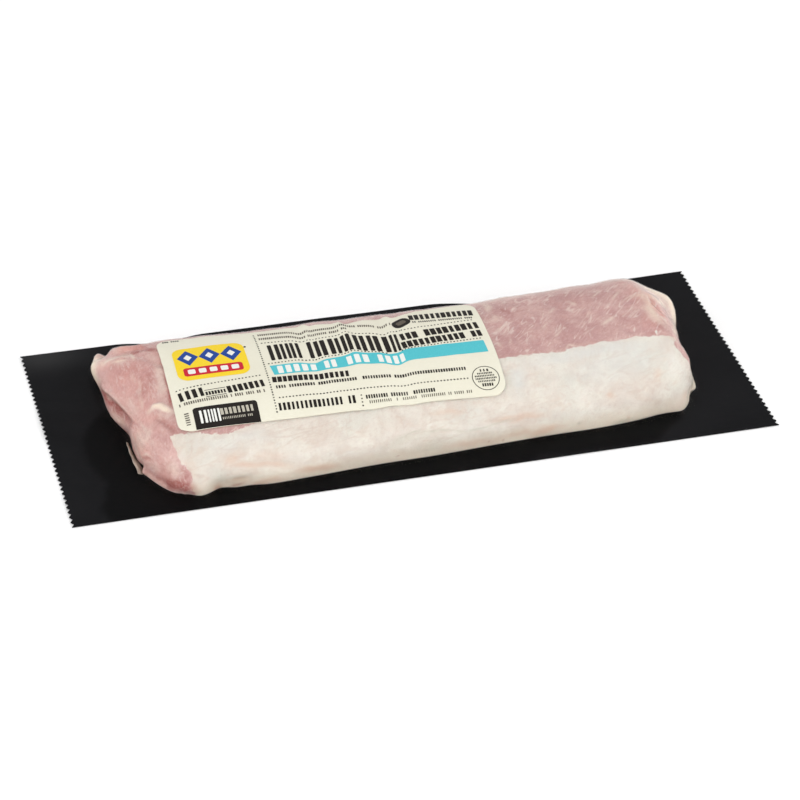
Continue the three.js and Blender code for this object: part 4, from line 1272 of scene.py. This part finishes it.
def make_backing(material):
    outline = sheet_outline()
    work = bmesh.new()
    corners = [work.verts.new((x, y, 0)) for x, y in outline]
    work.faces.new(corners)
    for axis, reach in ((0, SHEET_LENGTH / 2), (1, SHEET_WIDTH / 2)):
        for cut in np.arange(-reach + SHEET_CELL, reach, SHEET_CELL):
            point = [0.0, 0.0, 0.0]
            point[axis] = float(cut)
            normal = [0.0, 0.0, 0.0]
            normal[axis] = 1.0
            bmesh.ops.bisect_plane(work, geom=work.verts[:] + work.edges[:] + work.faces[:],
                                   plane_co=point, plane_no=normal, dist=0.01)
    bmesh.ops.recalc_face_normals(work, faces=work.faces)
    if work.faces[0].normal.z < 0:
        bmesh.ops.reverse_faces(work, faces=work.faces[:])
    flat = np.array([vert.co[:] for vert in work.verts])
    away = away_from_foot(flat[:, 0], flat[:, 1])
    rise = sheet_ripple(flat[:, 0], flat[:, 1], away)
    below = bmesh.ops.extrude_face_region(work, geom=work.faces[:])["geom"]
    lifted = [item for item in below if isinstance(item, bmesh.types.BMVert)]
    for vert in lifted:
        vert.co.z = SHEET_THICKNESS
    bmesh.ops.recalc_face_normals(work, faces=work.faces)
    mesh = bpy.data.meshes.new("backing_film")
    work.to_mesh(mesh)
    work.free()
    points = np.empty(len(mesh.vertices) * 3)
    mesh.vertices.foreach_get("co", points)
    points = points.reshape(-1, 3)
    count = len(flat)
    points[:count, 2] += rise
    nearest = {(round(x, 3), round(y, 3)): k for k, (x, y, _) in enumerate(flat)}
    for k in range(count, len(points)):
        points[k, 2] += rise[nearest[(round(points[k, 0], 3), round(points[k, 1], 3))]]
    mesh.vertices.foreach_set("co", (points * MM).ravel())
    mesh.update()
    mesh.materials.append(material)
    backing = bpy.data.objects.new("backing_film", mesh)
    bpy.context.collection.objects.link(backing)
    for name, values in (("held", held_share(points)), ("painted_glare", painted_glare_share(points))):
        share = mesh.attributes.new(name, "FLOAT", "POINT")
        share.data.foreach_set("value", values)
    return backing


# Where the film is tight to the sheet round the left end and along the front, in plan
HELD_BORDER = (
    (-134, 16), (-140.5, 9), (-145, 2), (-149, -6), (-150, -20), (-147, -30), (-143.5, -38), (-147, -46),
    (-150, -52), (-148, -58), (-147, -68), (26, -68), (50, -61), (76, -62), (102, -64), (112, -57),
    (121, -51), (126, -40), (0, 0),
)
HELD_EASE = 2.6
HELD_WAVE = 11.0
HELD_BEND = 2.2
# Painted glare on the film over the sheet's back left corner: middle and reach
GLARE_PLACE = (-155, 61)
GLARE_REACH = (17, 9.5)


def held_share(points):
    """1 where the film above is tight to the sheet, in a border with uneven edges."""
    in_plan = np.array([1, 1, 0])
    flat = points * in_plan
    shifts = [coarse_noise(flat, HELD_WAVE, seed) for seed in (31, 32, 33)]
    bent = flat + HELD_BEND * np.stack(shifts, axis=-1) * in_plan
    border = [(x, y, 0) for x, y in HELD_BORDER]
    away, _ = line_distance(bent, border + border[:1])
    signed = np.where(inside_outline(bent[:, 0], bent[:, 1], HELD_BORDER), away, -away)
    return np.clip(signed / HELD_EASE + 0.5, 0, 1)


def painted_glare_share(points):
    """How strongly the painted glare of the film lies over the sheet's back left corner."""
    x = (points[:, 0] - GLARE_PLACE[0]) / GLARE_REACH[0]
    y = (points[:, 1] - GLARE_PLACE[1]) / GLARE_REACH[1]
    return np.exp(-x ** 2 - y ** 2)


# The label and its print

# v of the label's top edge along u, where the film has drawn it in
LABEL_TOP = ((0, 33.6), (20, 32.8), (40, 31.2), (46, 30.5), (60, 30.6), (66, 30), (70, 29), (75, 30.8),
             (82, 28.4), (87, 25.4), (91, 27), (97, 28.2), (105, 25.8), (111, 26.4), (115, 28), (123, 31.4),
             (140, 33), (151, 33.6))
LABEL_BOTTOM = ((0, -34), (30, -33.8), (60, -33.6), (78, -33.4), (88, -33.9), (96, -33.3), (106, -34),
                (115, -33.5), (151, -34))
LABEL_CORNER = 6.5
LABEL_CELL_ALONG = 0.6
LABEL_ROWS = 88


def label_edges(u):
    """v of the label's lower and upper edge at u, with the corners rounded."""
    into = np.maximum(LABEL_CORNER - np.minimum(u, LABEL_LENGTH - u), 0)
    cut = LABEL_CORNER - np.sqrt(np.maximum(LABEL_CORNER ** 2 - into ** 2, 0))
    low = np.interp(u, *zip(*LABEL_BOTTOM)) + cut
    high = np.interp(u, *zip(*LABEL_TOP)) - cut
    return low, high


def make_label(material):
    even = np.arange(0, LABEL_LENGTH + LABEL_CELL_ALONG / 2, LABEL_CELL_ALONG)
    near = LABEL_CORNER * (1 - np.cos(np.linspace(0, math.pi / 2, 16)))
    middle = even[(even > LABEL_CORNER) & (even < LABEL_LENGTH - LABEL_CORNER)]
    u = np.unique(np.concatenate([near, middle, LABEL_LENGTH - near]))
    low, high = label_edges(u)
    share = np.linspace(0, 1, LABEL_ROWS + 1)[:, None]
    v = low + (high - low) * share
    upper = on_label(np.broadcast_to(u, v.shape), v, LABEL_THICKNESS)
    under = on_label(np.broadcast_to(u, v.shape), v, 0.0)
    columns = len(u)
    count = v.size
    points = np.vstack([upper.reshape(-1, 3), under.reshape(-1, 3)])
    faces = []
    for row in range(LABEL_ROWS):
        for i in range(columns - 1):
            a = row * columns + i
            faces.append((a, a + 1, a + columns + 1, a + columns))
            b = a + count
            faces.append((b, b + columns, b + columns + 1, b + 1))
    top = LABEL_ROWS * columns
    for i in range(columns - 1):
        faces.append((i, i + count, i + 1 + count, i + 1))
        faces.append((top + i, top + i + 1, top + i + 1 + count, top + i + count))
    for row in range(LABEL_ROWS):
        a = row * columns
        faces.append((a, a + columns, a + columns + count, a + count))
        b = a + columns - 1
        faces.append((b, b + count, b + columns + count, b + columns))
    return new_mesh_object("paper_label", points, faces, material)


# In-plane waves of the print at the creases: u, half width, and its shift at each v
PRINT_SHIFTS = (
    (66.5, 4.2, ((-34, 0), (-12, -0.6), (-6, -1), (-1, -2.6), (8, -1.6), (14, -2.6), (22, -3.6))),
    (87.0, 5.0, ((-34, 0), (-14, 0.4), (-1, 1.8), (12, 2), (20, 1))),
    (104.0, 4.4, ((-34, 0), (-22, -1), (-14, -1.4), (-8, -3.2), (-1, -3.2), (8, -2.4), (18, -3.4))),
)


def print_shift(u, v):
    return sum(np.interp(v, *zip(*amounts)) * np.exp(-(((u - at) / wide) ** 2))
               for at, wide, amounts in PRINT_SHIFTS)


# Rows of small marks: points of the foot of the row in u and v, height, pitch, ink of the mark as a
# share of the pitch, share of gaps between words, and the ink
DARK, SOFT, WHITE, LIGHT = "dark_print", "soft_print", "white_print", "light_print"
MARK_ROWS = (
    # left panel
    (((3.4, 30.1), (10.2, 30.1)), 1.6, 0.95, 0.62, 0.12, DARK),
    (((2.8, -9.2), (41, -6.9)), 0.62, 1.55, 0.42, 0.0, DARK),
    (((4.2, -16.2), (13.4, -15.4)), 5.5, 2.5, 0.7, 0.0, DARK),
    (((15.4, -15.4), (23.6, -15.0)), 2.2, 1.3, 0.66, 0.0, DARK),
    (((26.0, -15.6), (41.2, -14.2)), 4.4, 2.5, 0.7, 0.0, DARK),
    (((2.8, -19.1), (41, -17.8)), 1.75, 1.0, 0.55, 0.1, SOFT),
    (((20.0, -27.8), (33.6, -27.6)), 3.5, 1.9, 0.66, 0.0, LIGHT),
    (((20.0, -30.4), (33.0, -30.2)), 1.2, 0.8, 0.45, 0.14, LIGHT),
    (((5.4, -30.4), (5.4, -24.2)), 1.9, 1.15, 0.5, 0.0, SOFT),
    (((44.3, 26.0), (44.0, -29.7)), 0.62, 1.55, 0.42, 0.0, DARK),
    # top of the middle panel
    (((46.8, 24.8), (64, 23.8), (107.5, 19.6)), 1.9, 0.95, 0.56, 0.08, SOFT),
    (((46.5, 20.6), (86.8, 17.8)), 1.9, 0.95, 0.56, 0.08, SOFT),
    (((46.8, 17.2), (111, 13.3)), 0.62, 1.55, 0.42, 0.0, DARK),
    (((46.7, 0.5), (66, 0.9), (88, -0.05), (101, -0.8)), 0.62, 1.55, 0.42, 0.0, DARK),
    # below the band
    (((46.8, -12.6), (80, -14.6)), 3.6, 2.3, 0.74, 0.1, DARK),
    (((47, -16.6), (134, -19.2)), 1.8, 1.2, 0.6, 0.09, DARK),
    (((47, -22.5), (134, -24.3)), 0.62, 1.55, 0.42, 0.0, DARK),
    (((46.2, -29.2), (80, -29.9)), 4.0, 1.9, 0.6, 0.12, DARK),
    (((83.4, -26.4), (83.2, -31.6)), 0.62, 1.4, 0.42, 0.0, DARK),
    (((86, -28.6), (117.3, -29.0)), 1.9, 1.15, 0.62, 0.08, DARK),
    (((87, -31.0), (134.3, -31.4)), 1.4, 0.95, 0.42, 0.14, SOFT),
    # right panel
    (((118.8, 21.2), (147, 19.4)), 5.2, 2.55, 0.72, 0.08, DARK),
    (((118.8, 18.4), (146.5, 16.8)), 1.3, 0.95, 0.55, 0.14, DARK),
    (((112, 13.6), (146, 15.1)), 0.62, 1.55, 0.42, 0.0, DARK),
    (((111.2, 6.0), (147, 8.3)), 4.9, 2.9, 0.74, 0.08, DARK),
    (((110.6, 0.1), (147, 2.2)), 4.6, 2.75, 0.74, 0.08, DARK),
    (((108.7, -0.9), (146.3, 0.2)), 0.62, 1.55, 0.42, 0.0, DARK),
    # in the ring
    (((140.9, -21.2), (144.1, -21.3)), 1.4, 1.1, 0.64, 0.0, DARK),
    (((139.2, -22.6), (145.6, -22.7)), 0.85, 0.75, 0.6, 0.06, DARK),
    (((137.8, -24.0), (147.2, -24.1)), 0.85, 0.75, 0.6, 0.06, DARK),
    (((137.8, -25.4), (147.2, -25.5)), 0.85, 0.75, 0.6, 0.06, DARK),
    (((138.8, -26.8), (146.2, -26.9)), 0.85, 0.75, 0.6, 0.06, DARK),
    (((140.4, -29.0), (144.8, -29.1)), 1.5, 1.1, 0.62, 0.0, DARK),
)


def mark_rows_tree():
    """Stands plain upright marks along a line, with uneven widths and gaps between words."""
    tree = bpy.data.node_groups.new("row_of_marks", "GeometryNodeTree")
    face = tree.interface
    face.new_socket("Geometry", in_out="INPUT", socket_type="NodeSocketGeometry")
    for name in ("Pitch", "Height", "Ink share", "Gap share"):
        face.new_socket(name, in_out="INPUT", socket_type="NodeSocketFloat")
    face.new_socket("Seed", in_out="INPUT", socket_type="NodeSocketInt")
    face.new_socket("Ink", in_out="INPUT", socket_type="NodeSocketMaterial")
    face.new_socket("Geometry", in_out="OUTPUT", socket_type="NodeSocketGeometry")
    given = add_node(tree, "NodeGroupInput").outputs
    curve = add_node(tree, "GeometryNodeMeshToCurve", {0: given["Geometry"]})
    spaced = add_node(tree, "GeometryNodeResampleCurve", {
        "Curve": curve.outputs[0], "Length": given["Pitch"]}, mode="LENGTH")
    mark = add_node(tree, "GeometryNodeMeshGrid", {
        "Size X": 1.0, "Size Y": 1.0, "Vertices X": 2, "Vertices Y": 2})
    raised = add_node(tree, "GeometryNodeTransform", {
        "Geometry": mark.outputs[0], "Translation": (0, 0.5, 0)})
    tangent = add_node(tree, "GeometryNodeInputTangent")
    turned = add_node(tree, "FunctionNodeAlignRotationToVector", {"Vector": tangent.outputs[0]}, axis="X")
    ink_width = maths(tree, "MULTIPLY", given["Pitch"], given["Ink share"])
    narrow = maths(tree, "MULTIPLY", ink_width, 0.8)
    broad = maths(tree, "MULTIPLY", ink_width, 1.2)
    width = add_node(tree, "FunctionNodeRandomValue", {2: narrow, 3: broad, 8: given["Seed"]},
                     data_type="FLOAT")
    size = add_node(tree, "ShaderNodeCombineXYZ", {0: width.outputs[1], 1: given["Height"], 2: 1.0})
    other_seed = maths(tree, "ADD", given["Seed"], 50)
    kept = add_node(tree, "FunctionNodeRandomValue", {2: 0.0, 3: 1.0, 8: other_seed}, data_type="FLOAT")
    chosen = add_node(tree, "FunctionNodeCompare", {0: kept.outputs[1], 1: given["Gap share"]},
                      data_type="FLOAT", operation="GREATER_EQUAL")
    placed = add_node(tree, "GeometryNodeInstanceOnPoints", {
        "Points": spaced.outputs[0], "Selection": chosen.outputs[0], "Instance": raised.outputs[0],
        "Rotation": turned.outputs[0], "Scale": size.outputs[0]})
    real = add_node(tree, "GeometryNodeRealizeInstances", {0: placed.outputs[0]})
    inked = add_node(tree, "GeometryNodeSetMaterial", {"Geometry": real.outputs[0], "Material": given["Ink"]})
    add_node(tree, "NodeGroupOutput", {0: inked.outputs[0]})
    return tree


def row_mesh(tree, row, seed, ink):
    """The flat marks of one row, in label millimetres."""
    line, height, pitch, ink_share, gap_share, _ = row
    mesh = bpy.data.meshes.new("row")
    mesh.from_pydata([(u, v, 0) for u, v in line], [(k, k + 1) for k in range(len(line) - 1)], [])
    carrier = bpy.data.objects.new("row", mesh)
    bpy.context.collection.objects.link(carrier)
    modifier = carrier.modifiers.new("marks", "NODES")
    modifier.node_group = tree
    values = {"Pitch": float(pitch), "Height": float(height), "Ink share": float(ink_share),
              "Gap share": float(gap_share), "Seed": seed, "Ink": ink}
    for item in tree.interface.items_tree:
        if item.in_out == "INPUT" and item.name in values:
            modifier[item.identifier] = values[item.name]
    evaluated = carrier.evaluated_get(bpy.context.evaluated_depsgraph_get())
    made = bpy.data.meshes.new_from_object(evaluated)
    carrier.modifiers.clear()
    bpy.data.objects.remove(carrier)
    return made


def rounded_box(low_u, low_v, high_u, high_v, radius, steps=5):
    """A rectangle with rounded corners, anticlockwise."""
    points = []
    for corner, (u, v) in enumerate(((high_u - radius, high_v - radius), (low_u + radius, high_v - radius),
                                     (low_u + radius, low_v + radius), (high_u - radius, low_v + radius))):
        for k in range(steps + 1):
            turn = math.pi / 2 * (corner + k / steps)
            points.append((u + radius * math.cos(turn), v + radius * math.sin(turn)))
    return points


def turned_about(points, middle, degrees):
    turn = math.radians(degrees)
    cos, sin = math.cos(turn), math.sin(turn)
    return [(middle[0] + (u - middle[0]) * cos - (v - middle[1]) * sin,
             middle[1] + (u - middle[0]) * sin + (v - middle[1]) * cos) for u, v in points]


def oval(middle, radius_u, radius_v, steps=40):
    turns = np.linspace(0, 2 * math.pi, steps, endpoint=False)
    return [(middle[0] + radius_u * math.cos(t), middle[1] + radius_v * math.sin(t)) for t in turns]


def ring_band(middle, outer, inner, steps=48):
    """The four-cornered pieces of a plain ring."""
    turns = np.linspace(0, 2 * math.pi, steps + 1)
    pieces = []
    for k in range(steps):
        a, b = turns[k], turns[k + 1]
        pieces.append([(middle[0] + r * math.cos(t), middle[1] + r * math.sin(t))
                       for r, t in ((inner, a), (outer, a), (outer, b), (inner, b))])
    return pieces


def blocks(start, end, count, height, ink_share, wide=(), slit=0.0):
    """Upright blocks between two points of a row's foot, each split by a slit if one is given."""
    shapes = []
    (u0, v0), (u1, v1) = start, end
    shares = np.array([wide[k % len(wide)] if wide else 1.0 for k in range(count)])
    reached = np.concatenate([[0], np.cumsum(shares)]) / shares.sum()
    for k in range(count):
        pitch = (u1 - u0) * (reached[k + 1] - reached[k])
        left = u0 + (u1 - u0) * reached[k]
        v = v0 + (v1 - v0) * reached[k]
        width = pitch * ink_share
        parts = ((left, left + width),)
        if slit:
            parts = ((left, left + width * (1 - slit) * 0.5), (left + width * (1 + slit) * 0.5, left + width))
        for part_left, part_right in parts:
            shapes.append(rounded_box(part_left, v, part_right, v + height, min(0.35, height / 8), 2))
    return shapes


DARK_BOX = (7.3, -33.75, 36.4, -21.9)
EMBLEM = (21.5, 8.5)
LOZENGES = (-10, 0, 10)
BAR_MARKS = (-10, -5, 0, 5, 10)


def drawn_shapes():
    """Everything on the label that isn't a row of small marks: lift, outline and ink of each."""
    shapes = []

    def draw(ink, outline, lift=0.05):
        shapes.append((ink, outline, lift))

    # plain emblem: a yellow plaque with a row of blue lozenges over a level red bar
    u, v = EMBLEM
    draw("yellow_print", rounded_box(u - 16.5, v - 12.5, u + 16.5, v + 12.5, 5, 8))
    for along in LOZENGES:
        draw("blue_print", oval((u + along, v + 4.2), 4.9, 6.1, 4), 0.08)
        draw(WHITE, oval((u + along, v + 4.2), 1.9, 2.4, 4), 0.12)
    draw("red_print", rounded_box(u - 13.6, v - 9.6, u + 13.6, v - 3.6, 1.4, 5), 0.08)
    for along in BAR_MARKS:
        draw(WHITE, rounded_box(u + along - 1.7, v - 8.2, u + along + 1.7, v - 5, 0.7, 4), 0.12)
    draw(DARK, oval((38.6, 16.2), 0.6, 0.6, 12))

    # dark box at the foot of the left panel
    box_top = [point for point in rounded_box(*DARK_BOX, 1.5, 5) if point[1] > DARK_BOX[3] - 2]
    draw(DARK, box_top + [(DARK_BOX[0], DARK_BOX[1]), (DARK_BOX[2], DARK_BOX[1])])
    for shape in blocks((9.9, -31), (19.6, -31), 3, 7.1, 0.82, (1.2, 0.8, 1.0), 0.3):
        draw(WHITE, shape, 0.1)
    # rules above and below the small row
    for low in (-12.3, -16.5):
        draw(DARK, [(14.7, low), (24.1, low + 0.45), (24.1, low + 0.75), (14.7, low + 0.3)])

    # heading of three and seven blocks, and the turquoise band
    for shape in blocks((48.5, 2.9), (63.4, 2.6), 3, 12, 0.86, (1.15, 0.9, 0.9), 0.26):
        draw(DARK, shape)
    for shape in blocks((66.2, 2.3), (109.2, -0.6), 7, 12, 0.86, (1.1, 1.2, 0.9, 1.05, 1.05, 1.2, 0.8), 0.26):
        draw(DARK, shape)
    top = [(46.8, -0.9), (80, -0.9), (110, -1.0), (147.3, -1.2)]
    bottom = [(147.6, -9.4), (110, -9.0), (80, -8.4), (47.6, -7.6)]
    draw("turquoise_print", top[::-1] + bottom[::-1])
    for start, end, count in (((49.8, -7), (68.6, -7.2), 5), ((71.4, -7.3), (78, -7.4), 2),
                              ((82, -7.5), (93.4, -7.6), 3), ((96.4, -7.7), (109.6, -7.9), 4)):
        for shape in blocks(start, end, count, 5.2, 0.66):
            draw(WHITE, shape, 0.1)

    # badge beside the right panel
    badge = rounded_box(108.4, 16.8, 118, 23.2, 2.8, 6)
    draw(DARK, turned_about(badge, (113.2, 20), 30))
    inner = rounded_box(110.6, 18.6, 115.8, 21.4, 1, 4)
    draw(SOFT, turned_about(inner, (113.2, 20), 30), 0.1)
    for piece in ring_band((142.5, -24.6), 6.4, 6.1):
        draw(DARK, piece)
    return shapes


PRINT_CELL = 0.6
# Faces up to this area, in square millimetres, lie flat enough on the paper uncut
UNCUT_AREA = 0.4
PRINT_CLEARANCE = 0.03


def finished_print(name, work, material):
    """Cuts flat print into cells, gives it thickness and lays it on the label."""
    spans = np.array([vert.co[:2] for vert in work.verts])
    for axis in (0, 1):
        low, high = spans[:, axis].min(), spans[:, axis].max()
        for cut in np.arange(math.ceil(low / PRINT_CELL) * PRINT_CELL, high, PRINT_CELL):
            large = [face for face in work.faces if face.calc_area() > UNCUT_AREA]
            if not large:
                break
            edges = {edge for face in large for edge in face.edges}
            verts = {vert for face in large for vert in face.verts}
            point, normal = [0.0, 0.0, 0.0], [0.0, 0.0, 0.0]
            point[axis], normal[axis] = float(cut), 1.0
            bmesh.ops.bisect_plane(work, geom=list(verts) + list(edges) + large,
                                   plane_co=point, plane_no=normal, dist=0.001)
    bmesh.ops.recalc_face_normals(work, faces=work.faces)
    layer = work.verts.layers.float["lift"]
    turned = [face for face in work.faces if face.normal.z < 0]
    bmesh.ops.reverse_faces(work, faces=turned)
    extruded = bmesh.ops.extrude_face_region(work, geom=work.faces[:])["geom"]
    raised = {item for item in extruded if isinstance(item, bmesh.types.BMVert)}
    flat = []
    for vert in work.verts:
        flat.append((vert.co.x, vert.co.y, vert[layer] if vert in raised else 0.0))
    flat = np.array(flat)
    placed = on_label(flat[:, 0], flat[:, 1] + print_shift(flat[:, 0], flat[:, 1]),
                      LABEL_THICKNESS + PRINT_CLEARANCE + flat[:, 2])
    for vert, place in zip(work.verts, placed):
        vert.co = Vector(place * MM)
    bmesh.ops.recalc_face_normals(work, faces=work.faces)
    mesh = bpy.data.meshes.new(name)
    work.to_mesh(mesh)
    work.free()
    mesh.materials.clear()
    mesh.materials.append(material)
    made = bpy.data.objects.new(name, mesh)
    bpy.context.collection.objects.link(made)
    return made


ROW_LIFT = 0.05
ROW_LIFT_IN_BOX = 0.1


def make_print(inks):
    """One thin piece of print for each ink."""
    tree = mark_rows_tree()
    sheets = {}
    for ink in inks:
        work = bmesh.new()
        work.verts.layers.float.new("lift")
        sheets[ink] = work
    for seed, row in enumerate(MARK_ROWS):
        ink = row[-1]
        work = sheets[ink]
        layer = work.verts.layers.float["lift"]
        before = len(work.verts)
        mesh = row_mesh(tree, row, seed, inks[ink])
        work.from_mesh(mesh)
        work.verts.ensure_lookup_table()
        lift = ROW_LIFT_IN_BOX if ink == LIGHT else ROW_LIFT
        for vert in work.verts[before:]:
            vert[layer] = lift
        bpy.data.meshes.remove(mesh)
    for ink, outline, lift in drawn_shapes():
        work = sheets[ink]
        layer = work.verts.layers.float["lift"]
        verts = [work.verts.new((u, v, 0)) for u, v in outline]
        for vert in verts:
            vert[layer] = lift
        work.faces.new(verts)
    return [finished_print(ink, work, inks[ink]) for ink, work in sheets.items() if len(work.faces)]


# The studio

FLOOR_REACH = 6.0


def make_floor():
    material, tree, surface = new_material("studio_floor")
    place = object_place(tree)
    cloud = noise_value(tree, place, 2.0, 2.0)
    colour = blended(tree, cloud, (0.97, 0.97, 0.97, 1), (0.985, 0.985, 0.985, 1))
    shader = add_node(tree, "ShaderNodeBsdfPrincipled", {"Base Color": colour, "Roughness": 0.9,
                                                         "Specular IOR Level": 0.0})
    tree.links.new(shader.outputs[0], surface)
    corners = [(-FLOOR_REACH, -FLOOR_REACH), (FLOOR_REACH, -FLOOR_REACH), (FLOOR_REACH, FLOOR_REACH),
               (-FLOOR_REACH, FLOOR_REACH)]
    mesh = bpy.data.meshes.new("floor")
    mesh.from_pydata([(x, y, -0.0002) for x, y in corners], [], [(0, 1, 2, 3)])
    mesh.materials.append(material)
    floor = bpy.data.objects.new("floor", mesh)
    bpy.context.collection.objects.link(floor)


def make_lamp(name, place, target, width, height, power):
    data = bpy.data.lights.new(name, "AREA")
    data.shape = "RECTANGLE"
    data.size = width
    data.size_y = height
    data.energy = power
    lamp = bpy.data.objects.new(name, data)
    bpy.context.collection.objects.link(lamp)
    lamp.location = place
    lamp.rotation_euler = (Vector(target) - Vector(place)).to_track_quat("-Z", "Y").to_euler()


def make_studio():
    make_floor()
    make_lamp("overhead", (0, 0.8, 2.3), (0, 0, 0), 2.4, 1.2, 14)
    make_lamp("front", (0.2, -2.4, 0.6), (0, 0, 0), 2.6, 0.9, 16)
    make_lamp("left", (-2.2, -1.1, 1.1), (0, 0, 0), 2.4, 1.8, 46)
    make_lamp("right", (2.2, -0.9, 1.2), (0, 0, 0), 2.4, 1.8, 39)
    world = bpy.data.worlds.new("studio")
    bpy.context.scene.world = world
    world.use_nodes = True
    tree = world.node_tree
    way = add_node(tree, "ShaderNodeTexCoord").outputs["Generated"]
    towards_back = add_node(tree, "ShaderNodeSeparateXYZ", {0: way}).outputs[1]
    strength = spread(tree, towards_back, -0.4, 0.6, 0.27, 0.7)
    tree.links.new(strength, tree.nodes["Background"].inputs[1])
    tree.nodes["Background"].inputs[0].default_value = (1, 1, 1, 1)
    bpy.context.scene.view_settings.view_transform = "Standard"
    bpy.context.scene.view_settings.look = "None"

    data = bpy.data.cameras.new("camera")
    data.lens = CAMERA_LENS
    data.sensor_width = SENSOR_WIDTH
    data.clip_start = 0.05
    camera = bpy.data.objects.new("camera", data)
    bpy.context.collection.objects.link(camera)
    turned = Matrix(camera_axes()).transposed().to_4x4()
    camera.matrix_world = Matrix.Translation(CAMERA_PLACE) @ turned
    bpy.context.scene.camera = camera


def make_pack():
    moulding = read_moulding()
    meat = make_meat(pork_material(), moulding)
    film = make_film(clear_film_material(), moulding)
    fin = make_fin(milky_film_material())
    backing = make_backing(backing_material())
    label = make_label(paper_material())
    inks = {
        DARK: ink_material(DARK, (36, 29, 25), (26, 20, 17)),
        SOFT: ink_material(SOFT, (112, 103, 92), (88, 80, 70)),
        WHITE: ink_material(WHITE, (246, 246, 240), (240, 240, 234)),
        LIGHT: ink_material(LIGHT, (206, 200, 184), (184, 178, 162)),
        "turquoise_print": ink_material("turquoise_print", (92, 201, 211), (82, 192, 203)),
        "yellow_print": ink_material("yellow_print", (253, 222, 60), (248, 212, 40)),
        "blue_print": ink_material("blue_print", (36, 78, 160), (26, 66, 148)),
        "red_print": ink_material("red_print", (212, 42, 62), (200, 32, 52)),
    }
    prints = make_print(inks)
    for piece in [meat, film, fin, backing, label] + prints:
        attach(piece, "root")
    for piece in (meat, film, fin):
        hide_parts("sealed_loin")
    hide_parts("backing_sheet")
    for piece in [label] + prints:
        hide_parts("label")


make_pack()
make_studio()
